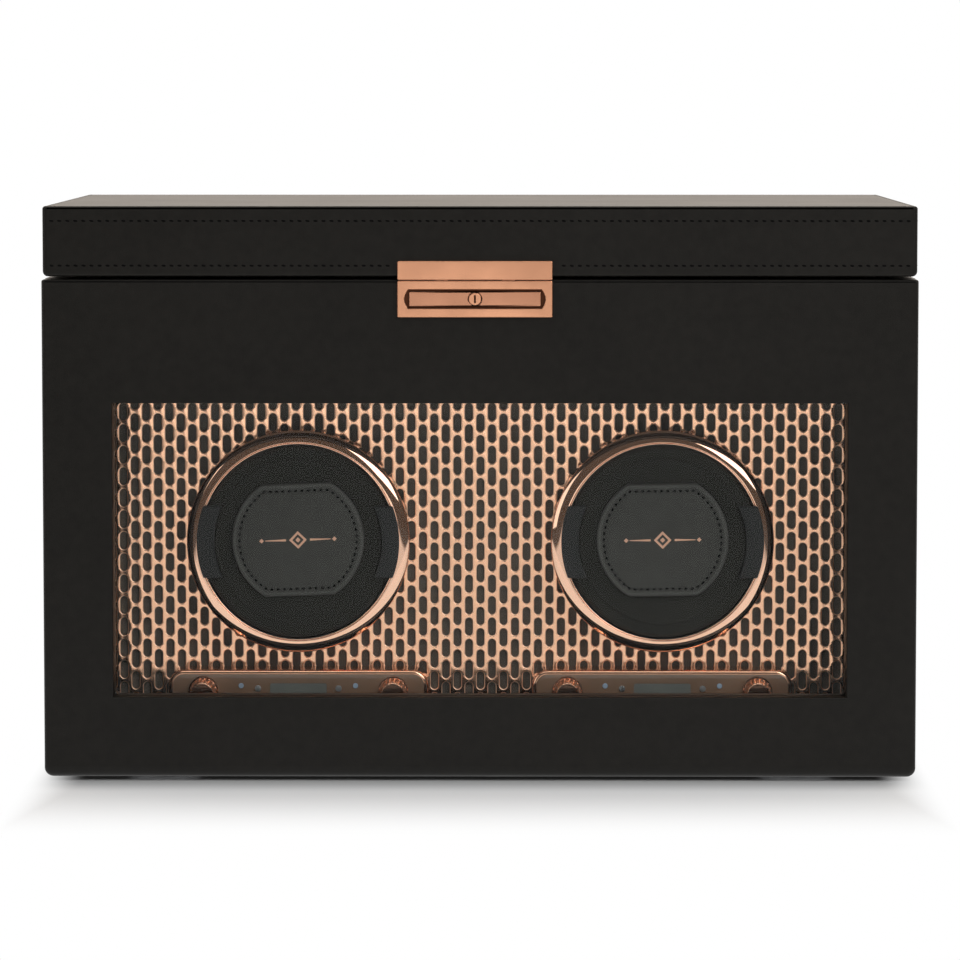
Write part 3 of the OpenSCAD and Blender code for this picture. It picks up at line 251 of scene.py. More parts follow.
def noise(tree, vector, scale, detail):
    node = tree.nodes.new("ShaderNodeTexNoise")
    node.inputs["Scale"].default_value = scale
    node.inputs["Detail"].default_value = detail
    node.inputs["Roughness"].default_value = 0.55
    tree.links.new(vector, node.inputs["Vector"])
    return node.outputs["Fac"]


def cellEdges(tree, vector, scale):
    node = tree.nodes.new("ShaderNodeTexVoronoi")
    node.feature = "DISTANCE_TO_EDGE"
    node.inputs["Scale"].default_value = scale
    tree.links.new(vector, node.inputs["Vector"])
    return node.outputs["Distance"]


def blendOf(tree, a, b, share):
    # a and b in the given share of b
    first, second = (mathNode(tree, "MULTIPLY", value, part) for value, part in ((a, 1 - share), (b, share)))
    return mathNode(tree, "ADD", first, second)


def colorBetween(tree, shader, value, low, high, dark, light):
    node = tree.nodes.new("ShaderNodeValToRGB")
    tree.links.new(value, node.inputs["Fac"])
    for mark, place, color in zip(node.color_ramp.elements, (low, high), (dark, light)):
        mark.position = place
        mark.color = (*color, 1)
    tree.links.new(node.outputs["Color"], shader.inputs["Base Color"])


def roughBetween(tree, shader, value, low, high):
    tree.links.new(remap(tree, value, 0.3, 0.7, low, high), shader.inputs["Roughness"])


def bump(tree, shader, height, distance, strength):
    node = tree.nodes.new("ShaderNodeBump")
    node.inputs["Distance"].default_value = distance
    node.inputs["Strength"].default_value = strength
    tree.links.new(height, node.inputs["Height"])
    tree.links.new(node.outputs["Normal"], shader.inputs["Normal"])


def setSockets(shader, levels):
    for name, level in levels.items():
        shader.inputs[name].default_value = level


leatherLook = {
    "warpScale": 260.0, "mottleScale": 28.0, "warpShare": 0.65, "shadeMarks": (0.32, 0.68),
    "smoother": 0.02, "rougher": 0.025, "creaseWidth": 0.22, "fineScale": 3800.0, "fineShare": 0.3,
    "depth": 0.00006, "strength": 0.6,
    "sockets": {"IOR": 1.45, "Specular IOR Level": 0.16, "Coat Weight": 0.22, "Coat Roughness": 0.3,
                "Coat IOR": 1.3},
}


def leatherMaterial(name, dark, light, rough, grain, pebble=1500.0):
    mat, tree, shader = newMaterial(name)
    look = leatherLook
    vector = objectCoords(tree)
    warp = noise(tree, vector, look["warpScale"], 2.0)
    creases = remap(tree, cellEdges(tree, vector, pebble), 0.0, look["creaseWidth"], 0.0, 1.0)
    fine = noise(tree, vector, look["fineScale"], 2.0)
    mottling = noise(tree, vector, look["mottleScale"], 4.0)
    shade = blendOf(tree, mottling, warp, look["warpShare"])
    colorBetween(tree, shader, shade, *look["shadeMarks"], dark, light)
    roughBetween(tree, shader, mottling, rough - look["smoother"], rough + look["rougher"])
    relief = blendOf(tree, creases, fine, look["fineShare"])
    bump(tree, shader, relief, look["depth"] * grain, look["strength"])
    setSockets(shader, look["sockets"])
    return mat


fabricLook = {
    "patchScale": 45.0, "patchShare": 0.5, "shadeMarks": (0.35, 0.65), "sheenRough": 0.5, "strength": 0.5,
}


def fabricMaterial(name, dark, light, rough=0.95, fuzz=2600.0, sheen=0.4, fuzzDepth=0.0001, gloss=0.5):
    mat, tree, shader = newMaterial(name)
    look = fabricLook
    vector = objectCoords(tree)
    nap = noise(tree, vector, fuzz, 3.0)
    patches = noise(tree, vector, look["patchScale"], 3.0)
    shade = blendOf(tree, nap, patches, look["patchShare"])
    colorBetween(tree, shader, shade, *look["shadeMarks"], dark, light)
    setSockets(shader, {"Roughness": rough, "Sheen Weight": sheen, "Sheen Roughness": look["sheenRough"],
                        "Specular IOR Level": gloss})
    bump(tree, shader, nap, fuzzDepth, look["strength"])
    return mat


metalLook = {
    "cloudScale": 60.0, "shadeMarks": (0.35, 0.65), "leastRough": 0.02,
    "streakPull": (1, 1, 60), "streakScale": 300.0, "streakDepth": 0.00002,
}


def metalMaterial(name, color, rough, streak=0.0, wear=0.03):
    # wear spreads the polish and dulls the colour; streak is how deep the turning marks look
    mat, tree, shader = newMaterial(name)
    look = metalLook
    cloud = noise(tree, objectCoords(tree), look["cloudScale"], 4.0)
    dull = tuple(c * (1 - wear * 2) for c in color)
    colorBetween(tree, shader, cloud, *look["shadeMarks"], dull, color)
    roughBetween(tree, shader, cloud, max(rough - wear, look["leastRough"]), rough + wear)
    shader.inputs["Metallic"].default_value = 1.0
    if streak:
        marks = noise(tree, objectCoords(tree, look["streakPull"]), look["streakScale"], 2.0)
        bump(tree, shader, marks, look["streakDepth"], streak)
    return mat


plasticLook = {
    "cloudScale": 80.0, "shadeMarks": (0.35, 0.65), "dull": 0.88, "smoother": 0.03, "rougher": 0.04,
    "grainScale": 3000.0, "grainDepth": 0.00004,
}


def plasticMaterial(name, color, rough, texture=0.0, coat=0.0, gloss=0.5):
    mat, tree, shader = newMaterial(name)
    look = plasticLook
    vector = objectCoords(tree)
    cloud = noise(tree, vector, look["cloudScale"], 3.0)
    colorBetween(tree, shader, cloud, *look["shadeMarks"], tuple(c * look["dull"] for c in color), color)
    roughBetween(tree, shader, cloud, rough - look["smoother"], rough + look["rougher"])
    setSockets(shader, {"Coat Weight": coat, "Specular IOR Level": gloss})
    if texture:
        bump(tree, shader, noise(tree, vector, look["grainScale"], 2.0), look["grainDepth"], texture)
    return mat


glassLook = {
    "tint": (0.97, 0.99, 0.985, 1), "straightTint": (0.96, 0.975, 0.97, 1), "smearScale": 14.0,
    "rough": (0.0, 0.012),
    "sockets": {"Transmission Weight": 1.0, "IOR": 1.0, "Coat Weight": 1.0, "Coat Roughness": 0.1,
                "Coat IOR": 1.18},
}


def glassMaterial(name):
    # clear glass that lets shadow and diffuse rays straight through, with a soft sheen of its own
    mat, tree, shader = newMaterial(name)
    look = glassLook
    shader.inputs["Base Color"].default_value = look["tint"]
    roughBetween(tree, shader, noise(tree, objectCoords(tree), look["smearScale"], 3.0), *look["rough"])
    setSockets(shader, look["sockets"])
    clear = tree.nodes.new("ShaderNodeBsdfTransparent")
    clear.inputs["Color"].default_value = look["straightTint"]
    path = tree.nodes.new("ShaderNodeLightPath").outputs
    straight = mathNode(tree, "MAXIMUM", path["Is Shadow Ray"], path["Is Diffuse Ray"])
    mixSurface(tree, tree.nodes["Material Output"], straight, shader, clear)
    return mat


finishes = {
    "leather": leatherMaterial("boxLeather", (0.0092, 0.0083, 0.0069), (0.0132, 0.0120, 0.0100),
                               rough=0.5, grain=0.6),
    "patchLeather": leatherMaterial("patchLeather", (0.035, 0.0345, 0.0308), (0.0445, 0.0438, 0.0395),
                                    rough=0.55, grain=0.12, pebble=2400.0),
    "thread": fabricMaterial("blackThread", (0.001,) * 3, (0.003,) * 3,
                             rough=0.8, fuzz=5200.0, sheen=0.0, gloss=0.08),
    "patchEdge": leatherMaterial("patchEdge", (0.052, 0.051, 0.047), (0.064, 0.063, 0.058),
                                 rough=0.5, grain=0.1, pebble=2400.0),
    "suede": fabricMaterial("taupeSuede", (0.13, 0.12, 0.105), (0.19, 0.175, 0.155)),
    "cushionSuede": fabricMaterial("cushionSuede", (0.20, 0.185, 0.165), (0.28, 0.262, 0.235)),
    "felt": fabricMaterial("padFelt", (0.008, 0.008, 0.010), (0.016, 0.016, 0.020)),
    "velvet": fabricMaterial("cuffVelvet", (0.0142, 0.0136, 0.0112), (0.0196, 0.0188, 0.0158),
                             rough=0.88, fuzz=3400.0, sheen=0.05, fuzzDepth=0.000004, gloss=0.16),
    "copper": metalMaterial("roseCopper", (0.90, 0.50, 0.33), 0.13),
    "copperMirror": metalMaterial("bezelCopper", (0.92, 0.56, 0.40), 0.05, wear=0.015),
    "copperPlate": metalMaterial("plateCopper", (1.0, 0.56, 0.36), 0.15),
    # painted highlight: paler, rougher copper for the rims of the plate's slots
    "copperRim": metalMaterial("slotRimHighlight", (1.0, 0.64, 0.45), 0.42),
    "copperFoil": metalMaterial("foilCopper", (0.62, 0.36, 0.25), 0.38),
    "steel": metalMaterial("turnedSteel", (0.60, 0.60, 0.61), 0.28, streak=0.3),
    "motorCase": metalMaterial("zincCase", (0.50, 0.51, 0.53), 0.4, streak=0.2),
    "blackPlastic": plasticMaterial("mouldedBlack", (0.010,) * 3, 0.36, texture=0.2, gloss=0.25),
    "slotDark": plasticMaterial("paintedBoard", (0.058, 0.047, 0.035), 0.7, texture=0.5),
    "retainer": plasticMaterial("retainerBlack", (0.010,) * 3, 0.4, texture=0.3),
    "display": plasticMaterial("displayLens", (0.165, 0.172, 0.158), 0.12, coat=0.6),
    "lamp": plasticMaterial("lampLens", (0.33, 0.42, 0.55), 0.2),
    "circuit": plasticMaterial("circuitBoard", (0.02, 0.09, 0.05), 0.35),
    "nylon": plasticMaterial("naturalNylon", (0.68, 0.62, 0.42), 0.45, texture=0.2),
    "glass": glassMaterial("windowGlass"),
    "latchCopper": metalMaterial("latchCopper", (0.73, 0.358, 0.21), 0.2),
    "barCopper": metalMaterial("pushBarCopper", (0.64, 0.305, 0.182), 0.22),
    # painted shade: dark copper for the latch's recess, the bar's sides and the keyway, where shade falls
    "latchShadow": metalMaterial("latchRecessShade", (0.17, 0.065, 0.035), 0.45),
    "fascia": plasticMaterial("smokedFascia", (0.215, 0.127, 0.080), 0.14, coat=0.6),
}
print("materials ready:", len(finishes))

# what the CAD's own pieces wear, by their material slots
slotFinish = {
    "leather": "leather", "suede": "suede", "felt": "felt", "copper": "copper", "copper_plate": "copperPlate",
    "moulded_black": "blackPlastic", "board_black": "slotDark", "steel": "steel", "motor_case": "motorCase",
    "display_lens": "display", "lamp_lens": "lamp", "circuit_board": "circuit", "window_glass": "glass",
    "retainer_black": "retainer", "cuff_velvet": "velvet", "cuff_leather": "patchLeather",
    "cushion_suede": "cushionSuede", "pinion_nylon": "nylon",
}
for part in frame["record"]["subparts"]:
    worn = frame["nodes"][part["node"]].data.materials
    worn.clear()
    worn.append(finishes[slotFinish[part["material_slot"]]])
print("frame dressed")

# modelling helpers


def inMm(**sizes):
    # sizes given in millimetres, singly or in groups
    def scaled(size):
        return tuple(scaled(one) for one in size) if isinstance(size, tuple) else size * mm

    return {name: scaled(size) for name, size in sizes.items()}


def corners(node):
    low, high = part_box(node)
    return Vector(low), Vector(high)


def boxBm(low, high):
    bm = bmesh.new()
    bmesh.ops.create_cube(bm, size=1)
    size = Vector(high) - Vector(low)
    bmesh.ops.scale(bm, vec=size, verts=bm.verts)
    bmesh.ops.translate(bm, vec=(Vector(high) + Vector(low)) / 2, verts=bm.verts)
    return bm


def edgesAlong(bm, axis, test):
    # the edges that run along an axis and whose middle passes the test
    found = []
    for edge in bm.edges:
        run = edge.verts[1].co - edge.verts[0].co
        if run.length > 0 and abs(run[axis]) > 0.99 * run.length:
            if test((edge.verts[0].co + edge.verts[1].co) / 2):
                found.append(edge)
    return found


def roundEdges(bm, edges, radius, segments, material=-1):
    bmesh.ops.bevel(bm, geom=edges, offset=radius, segments=segments, affect="EDGES", profile=0.5,
                    material=material)


def vertsOf(geometry):
    return [g for g in geometry if isinstance(g, bmesh.types.BMVert)]


def smoothShade(mesh):
    mesh.polygons.foreach_set("use_smooth", [True] * len(mesh.polygons))


def declare(piece, body, replaced):
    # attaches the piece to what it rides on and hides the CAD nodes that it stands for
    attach(piece, body)
    if replaced:
        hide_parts(*replaced)
    return piece


def finishPiece(name, bm, finish, body, replaced=(), sharp=35.0, weighted=True):
    # finish names one finish, or two with the second for faces that are marked 1
    bmesh.ops.recalc_face_normals(bm, faces=bm.faces)
    mesh = meshOf(bm, name)
    piece = linked(name, mesh)
    for one in finish.split():
        mesh.materials.append(finishes[one])
    smoothShade(mesh)
    mesh.set_sharp_from_angle(angle=math.radians(sharp))
    if weighted:
        piece.modifiers.new("evenNormals", "WEIGHTED_NORMAL").keep_sharp = True
    return declare(piece, body, replaced)


def stamp(bm, other, matrices):
    # adds a copy of another bmesh at every matrix, then frees the other
    for matrix in matrices:
        mesh = bpy.data.meshes.new("joined")
        other.to_mesh(mesh)
        mesh.transform(matrix)
        bm.from_mesh(mesh)
        bpy.data.meshes.remove(mesh)
    other.free()


def joinInto(bm, other):
    stamp(bm, other, [Matrix.Identity(4)])


def modified(body, tools=()):
    # the bmesh as it comes out of the object's modifiers; the objects are removed
    result = bmesh.new()
    result.from_object(body, bpy.context.evaluated_depsgraph_get())
    for thing in (body, *tools):
        mesh = thing.data
        bpy.data.objects.remove(thing)
        bpy.data.meshes.remove(mesh)
    return result


def cutBm(bm, cutters):
    # subtracts closed cutters from a closed bmesh
    body, *tools = (linked("cutting", meshOf(one, "cutting")) for one in (bm, *cutters))
    for tool in tools:
        cut = body.modifiers.new("cut", "BOOLEAN")
        cut.operation, cut.object, cut.solver = "DIFFERENCE", tool, "EXACT"
    return modified(body, tools)


def rodBm(radius, low, high, x, z, sides, axis="Y"):
    # a rod from low to high along Y, or along X with x standing for its place in Y
    bm = bmesh.new()
    bmesh.ops.create_cone(bm, cap_ends=True, segments=sides, radius1=radius, radius2=radius, depth=high - low)
    middle = (low + high) / 2
    across, place = ("X", (x, middle, z)) if axis == "Y" else ("Y", (middle, x, z))
    turn = Matrix.Rotation(math.radians(90), 3, across)
    bmesh.ops.rotate(bm, cent=(0, 0, 0), matrix=turn, verts=bm.verts)
    bmesh.ops.translate(bm, vec=place, verts=bm.verts)
    return bm


def spinProfile(profile, centre, steps):
    # profile: radius and y pairs, turned about the Y axis through the centre
    bm = bmesh.new()
    cx, cz = centre
    verts = [bm.verts.new((cx + r, y, cz)) for r, y in profile]
    edges = [bm.edges.new(pair) for pair in zip(verts, verts[1:])]
    bmesh.ops.spin(bm, geom=verts + edges, cent=(cx, 0, cz), axis=(0, 1, 0), angle=math.tau,
                   steps=steps, use_merge=True)
    bmesh.ops.remove_doubles(bm, verts=bm.verts, dist=1e-7)
    bmesh.ops.recalc_face_normals(bm, faces=bm.faces)
    return bm


def arc(cx, cy, radius, start, end, count):
    turns = (math.radians(start + (end - start) * i / count) for i in range(count + 1))
    return [(cx + radius * math.cos(turn), cy + radius * math.sin(turn)) for turn in turns]


def isAt(value, target):
    return abs(value - target) < 1e-6


def softBlock(low, high, foot, crown, front, back, segments):
    # a block whose lower and upper side corners are rounded by foot and crown, and the edges
    # round its front and back faces by (side, bottom, top) radii
    bm = boxBm(low, high)
    for z, radius in ((low.z, foot), (high.z, crown)):
        if radius:
            roundEdges(bm, edgesAlong(bm, 1, lambda m: isAt(m.z, z)), radius, segments)
    widest = max(*front, *back)
    weights = bm.edges.layers.float.new("bevel_weight_edge")
    middleZ = (low.z + high.z) / 2
    for edge in bm.edges:
        for y, (side, bottom, top) in ((low.y, front), (high.y, back)):
            if all(isAt(v.co.y, y) for v in edge.verts):
                start, end = (v.co for v in edge.verts)
                level = abs((end - start).normalized().x)
                endRadius = bottom if (start.z + end.z) / 2 < middleZ else top
                edge[weights] = (side * (1 - level) + endRadius * level) / widest

    thing = linked("working", meshOf(bm, "working"))
    bevel = thing.modifiers.new("round", "BEVEL")
    bevel.limit_method = "WEIGHT"
    bevel.width = widest
    bevel.segments = segments
    bevel.use_clamp_overlap = False
    return modified(thing)


def roundRim(bm, y, radius, segments, inside=lambda middle: True):
    # rounds the edges in the plane at y that border a wall and whose middle passes the test
    rim = [e for e in bm.edges if all(abs(v.co.y - y) < 2e-6 for v in e.verts)
           and any(abs(f.normal.y) < 0.7 for f in e.link_faces)
           and any(abs(f.normal.y) > 0.9 for f in e.link_faces)
           and inside((e.verts[0].co + e.verts[1].co) / 2)]
    roundEdges(bm, rim, radius, segments)


def prism(outline, y0, y1):
    # an outline of x and z drawn from y0 back to y1
    bm = bmesh.new()
    face = bm.faces.new([bm.verts.new((x, y0, z)) for x, z in outline])
    moved = bmesh.ops.extrude_face_region(bm, geom=[face])["geom"]
    bmesh.ops.translate(bm, vec=(0, y1 - y0, 0), verts=vertsOf(moved))
    bmesh.ops.recalc_face_normals(bm, faces=bm.faces)
    return bm


def roundedOutline(x0, x1, z0, z1, radius, steps, lower=None):
    # a rectangle with rounded corners, the lower two with a radius of their own
    foot = radius if lower is None else lower
    points = []
    for cx, cz, r, start in ((x1 - foot, z0 + foot, foot, -90), (x1 - radius, z1 - radius, radius, 0),
                             (x0 + radius, z1 - radius, radius, 90), (x0 + foot, z0 + foot, foot, 180)):
        points += arc(cx, cz, r, start, start + 90, steps)
    return points


def grownOutline(low, high, grow, radius, steps=6, lower=None):
    return roundedOutline(low.x - grow, high.x + grow, low.z - grow, high.z + grow, radius, steps, lower)


def centredOutline(cx, cz, halfX, halfZ, radius, steps=6):
    return roundedOutline(cx - halfX, cx + halfX, cz - halfZ, cz + halfZ, radius, steps)


def middleOf(low, high):
    return (low.x + high.x) / 2, (low.z + high.z) / 2


caseLook = inMm(
    footRadius=3.4, rearRadius=2.5, edgeRadius=0.6, frontEdge=0.1, turnIn=0.8,
    recess=2.5, recessRadius=3.0, coverGap=0.3, openingInset=8.0,  # seat of the rear cover
    past=5,  # how far a cutter stands out of what it cuts
)


def sideSkin(side, node):
    low, high = corners(node)
    look = caseLook
    outer = high.x if side > 0 else low.x
    bm = boxBm(low, high)
    for axis, test, radius, steps in (
        (1, lambda m: isAt(m.z, low.z), look["footRadius"], 8),
        (2, lambda m: isAt(m.y, high.y), look["rearRadius"], 6),
        (1, lambda m: isAt(m.z, high.z), look["edgeRadius"], 3),
    ):
        roundEdges(bm, edgesAlong(bm, axis, lambda m: isAt(m.x, outer) and test(m)), radius, steps)
    return finishPiece(node.replace("panel", "leather"), bm, "leather", "case", [node])


def rearSkin():
    low, high = corners("rear_panel")
    coverLow, coverHigh = corners("rear_cover")
    look = caseLook
    bm = softBlock(low, high, 0, 0, (look["frontEdge"],) * 3, (look["turnIn"],) * 3, 4)
    past = look["past"]
    recess = prism(grownOutline(coverLow, coverHigh, look["coverGap"], look["recessRadius"]),
                   high.y - look["recess"], high.y + past)
    opening = prism(grownOutline(coverLow, coverHigh, -look["openingInset"], look["edgeRadius"]),
                    low.y - past, high.y + past)
    bm = cutBm(bm, [recess, opening])
    return finishPiece("rearLeather", bm, "leather", "case", ["rear_panel"])


for side, node in ((-1, "side_panel_left"), (1, "side_panel_right")):
    sideSkin(side, node)
rearSkin()
print("case leather ready")

lidLook = dict(inMm(
    sideInset=0.6, foot=2.0, crown=1.1, side=1.8, rim=1.2,
    seamInset=0.15, seamHalf=0.45, seamDepth=0.7,
    liningGap=0.5, past=5,
    stitchBelowTop=5.5, stitchAboveRim=4.1, latchClear=1.6,  # where the two rows run
    stitchPitch=3.0, stitchLength=1.8, stitchRadius=0.46, stitchSink=0.2,
), lean=(4, 14))  # degrees that a stitch may lean


def lidCorners():
    # the skin is a little narrower than the case
    low, high = corners("lid_shell")
    inset = Vector((lidLook["sideInset"], 0, 0))
    return low + inset, high - inset


def lidSkin():
    low, high = lidCorners()
    liningLow, liningHigh = corners("lid_lining")
    look = lidLook
    edges = (look["side"], look["rim"], look["crown"])
    bm = softBlock(low, high, look["foot"], look["crown"], edges, edges, 6)
    # seam between the top and the band round the sides, drawn in from the one large face that looks up
    top = [f for f in bm.faces if f.normal.z > 0.999 and f.calc_area() > 0.01]
    for thickness, depth in ((look["seamInset"], 0), (look["seamHalf"], -look["seamDepth"]),
                             (look["seamHalf"], look["seamDepth"])):
        bmesh.ops.inset_region(bm, faces=top, thickness=thickness, depth=depth, use_even_offset=True)
    gap = look["liningGap"]
    hollow = boxBm((liningLow.x - gap, liningLow.y - gap, low.z - look["past"]),
                   (liningHigh.x + gap, liningHigh.y + gap, liningHigh.z))
    bm = cutBm(bm, [hollow])
    return finishPiece("lidLeather", bm, "leather", "lid", ["lid_shell"])


def stitchBm(length, radius):
    # one plump thread along X
    bm = bmesh.new()
    bmesh.ops.create_uvsphere(bm, u_segments=8, v_segments=6, radius=1)
    bmesh.ops.rotate(bm, cent=(0, 0, 0), matrix=Matrix.Rotation(math.radians(90), 3, "Y"), verts=bm.verts)
    bmesh.ops.scale(bm, vec=(length / 2, radius, radius), verts=bm.verts)
    return bm


def rowAround(low, high, radius, z, pitch, skip=lambda x, y: False):
    # places and turns of the stitches along the four sides at height z
    sides = (
        ((low.x + radius, low.y), (high.x - radius, low.y), 0.0),
        ((high.x, low.y + radius), (high.x, high.y - radius), 90.0),
        ((high.x - radius, high.y), (low.x + radius, high.y), 180.0),
        ((low.x, high.y - radius), (low.x, low.y + radius), 270.0),
    )
    spots = []
    for (x0, y0), (x1, y1), turn in sides:
        count = int(math.hypot(x1 - x0, y1 - y0) / pitch)
        for i in range(count):
            share = (i + 0.5) / count
            x, y = x0 + (x1 - x0) * share, y0 + (y1 - y0) * share
            if not skip(x, y):
                spots.append((Vector((x, y, z)), turn))
    return spots


def lidStitches():
    low, high = lidCorners()
    latchLow, latchHigh = corners("latch_strike")
    look = lidLook
    thread = stitchBm(look["stitchLength"], look["stitchRadius"])

    def behindLatch(x, y):
        return y < 0 and latchLow.x - look["latchClear"] < x < latchHigh.x + look["latchClear"]

    foot, pitch = look["foot"], look["stitchPitch"]
    rows = rowAround(low, high, foot, high.z - look["stitchBelowTop"], pitch)
    rows += rowAround(low, high, foot, low.z + look["stitchAboveRim"], pitch, behindLatch)
    sunk = Matrix.Translation((0, look["stitchSink"], 0))
    bm = bmesh.new()
    stamp(bm, thread, (
        Matrix.Translation(place) @ Matrix.Rotation(math.radians(turn), 4, "Z") @ sunk
        @ Matrix.Rotation(math.radians(random.uniform(*look["lean"])), 4, "Y")
        for place, turn in rows
    ))
    return finishPiece("lidStitching", bm, "thread", "lid", weighted=False)


lidSkin()
lidStitches()
print("lid ready")

doorLook = inMm(
    foot=3.4, side=1.5, bottom=4.5, top=1.0, back=0.5,
    glassLap=5.0, windowEdge=0.7, rebate=0.3,
    tonguePitch=25.2, tongueWidth=5.0, notchGap=0.6, notchDepth=2.4, notchFront=0.4,  # for the strike
    latchLap=(1.2, 2), hingeRoom=3.2, hingeGap=0.5, knuckle=2.9,
    past=5,
)


def doorSkin():
    low, high = corners("door_panel")
    glassLow, glassHigh = corners("window_glass")
    strikeLow, strikeHigh = corners("latch_strike")
    latchLow, latchHigh = corners("latch_plate")
    look = doorLook
    bm = softBlock(low, high, look["foot"], look["top"], (look["side"], look["bottom"], look["top"]),
                   (look["back"], look["bottom"], look["top"]), 7)
    past = look["past"]
    cutters = []
    for grow, front in ((-look["glassLap"], low.y - past), (look["rebate"], glassLow.y)):
        cutters.append(boxBm((glassLow.x - grow, front, glassLow.z - grow),
                             (glassHigh.x + grow, high.y + past, glassHigh.z + grow)))
    strikeMiddle = (strikeLow.x + strikeHigh.x) / 2
    half = look["tongueWidth"] / 2 + look["notchGap"]
    for side in (-1, 1):
        x = strikeMiddle + side * look["tonguePitch"] / 2
        cutters.append(boxBm((x - half, low.y + look["notchFront"], high.z - look["notchDepth"]),
                             (x + half, high.y + past, high.z + past)))
    lapX, lapZ = look["latchLap"]
    cutters.append(boxBm((latchLow.x + lapX, low.y - past, latchLow.z + lapZ),
                         (latchHigh.x - lapX, latchHigh.y, latchHigh.z - lapZ)))
    gap, room = look["hingeGap"], look["hingeRoom"]
    for x0, x1, axisY, axisZ in hingeBoxes("door_hinge_leaves"):
        cutters.append(rodBm(room, x0 - gap, x1 + gap, axisY, axisZ, 24, "X"))
        cutters.append(boxBm((x0 - gap, axisY, low.z - past), (x1 + gap, high.y + past, axisZ + room)))
    bm = cutBm(bm, cutters)
    roundRim(bm, low.y, look["windowEdge"], 4,
             lambda m: glassLow.x < m.x < glassHigh.x and glassLow.z < m.z < glassHigh.z)
    return finishPiece("doorLeather", bm, "leather", "door", ["door_panel"])


def hingeBoxes(node):
    # for each of a node's two hinges: its ends along X and the place of its axis
    found, knuckle = [], doorLook["knuckle"]
    for side in (-1, 1):
        spots = [v.co for v in frame["nodes"][node].data.vertices if v.co.x * side > 0]
        xs = [p.x for p in spots]
        found.append((min(xs), max(xs), min(p.y for p in spots) + knuckle, min(p.z for p in spots) + knuckle))
    return found


doorSkin()
print("door ready")

screwLook = inMm(
    fromEnd=6.8, spread=12.0, leaf=1.4,  # where the holes are in a leaf, and its thickness
    radius=1.25, proud=0.3, sunk=0.1, dome=0.28,
    slotHalf=0.2, slotReach=0.85, slotDepth=0.35, past=1,
)


def hingeScrews(name, node, body, upper):
    # cross-slotted screws in the holes of the two hinge leaves
    low, high = corners(node)
    look = screwLook
    level = high.z - look["fromEnd"] if upper else low.z + look["fromEnd"]
    face = low.y + look["leaf"] + look["proud"]
    head = rodBm(look["radius"], low.y + look["sunk"], face, 0, 0, 24)
    roundRim(head, face, look["dome"], 3)
    half, reach = look["slotHalf"], look["slotReach"]
    floor, past = face - look["slotDepth"], face + look["past"]
    head = cutBm(head, [boxBm((-x, floor, -z), (x, past, z)) for x, z in ((half, reach), (reach, half))])
    bm = bmesh.new()
    stamp(bm, head, [Matrix.Translation(((x0 + x1) / 2 + side * look["spread"], 0, level))
                     for x0, x1, _, _ in hingeBoxes(node) for side in (-1, 1)])
    return finishPiece(name, bm, "copper", body)


hingeScrews("hingeScrewsCase", "lid_hinge_leaves", "case", False)
hingeScrews("hingeScrewsLid", "lid_hinge_straps", "lid", True)
print("hinge screws ready")

latchLook = dict(inMm(
    edge=0.35, corner=0.6, sharp=0.02, proud=1.2, past=5,  # both copper plates
    plateHeight=7.1, lipInset=1, lipFront=0.8, lipLow=0.02, lipHigh=0.6,
    tongueY=1.0, tongueThick=1.2, tongueLap=0.3, tongueEdge=0.2,
    recessHalf=26.5, recessStraight=25.1, recessRise=3.65, recessDepth=2.4,
    rimEdge=0.22, rimHalf=(28.5, 4.5), shadeGap=0.1,
    bodyLap=(3, 0.05, 1.5), bodyFloor=1.2,  # the case that the bar slides in
    barHalf=24.8, barRise=2.75, barEdge=0.4, barRim=0.24, slideGap=0.05, boreGap=0.22,
    plugRadius=2.4, plugEdge=0.25, keyHalf=0.38, keyRise=1.5, keyDepth=1.6, keyEdge=0.2,
), scoopSteps=10)


def strikePiece():
    low, high = corners("latch_strike")
    look = latchLook
    face = low.y + look["proud"]
    plateLow = Vector((low.x, low.y, high.z - look["plateHeight"]))
    bm = softBlock(plateLow, Vector((high.x, face, high.z)), look["corner"], look["corner"],
                   (look["edge"],) * 3, (look["sharp"],) * 3, 3)
    middle = (low.x + high.x) / 2
    inset = look["lipInset"]
    joinInto(bm, boxBm((low.x + inset, face - look["lipFront"], plateLow.z + look["lipLow"]),
                       (high.x - inset, high.y, plateLow.z + look["lipHigh"])))
    half, y = doorLook["tongueWidth"] / 2, face + look["tongueY"]
    for side in (-1, 1):
        x = middle + side * doorLook["tonguePitch"] / 2
        tongue = boxBm((x - half, y, low.z),
                       (x + half, y + look["tongueThick"], plateLow.z + look["tongueLap"]))
        roundEdges(tongue, tongue.edges[:], look["tongueEdge"], 2)
        joinInto(bm, tongue)
    return finishPiece("latchStrike", bm, "latchCopper", "lid", ["latch_strike"])


def scoopOutline(cx, cz):
    # recess with straight long sides and bulging ends
    look = latchLook
    steps = look["scoopSteps"]
    points = []
    for side in (1, -1):
        for i in range(steps + 1):
            t = (2 * i / steps - 1) * side
            bulge = (look["recessHalf"] - look["recessStraight"]) * (1 - t * t)
            points.append((cx + side * (look["recessStraight"] + bulge), cz + look["recessRise"] * t))
    return points


def barOutline(cx, cz, grow):
    look = latchLook
    corner = look["slideGap"] + look["barEdge"]
    return centredOutline(cx, cz, look["barHalf"] + grow, look["barRise"] + grow, corner, 3)


def shadeFaces(bm, test):
    # the second material, painted shade, on the faces whose middle and normal pass the test
    bm.normal_update()
    for face in bm.faces:
        if test(face.calc_center_median(), face.normal):
            face.material_index = 1


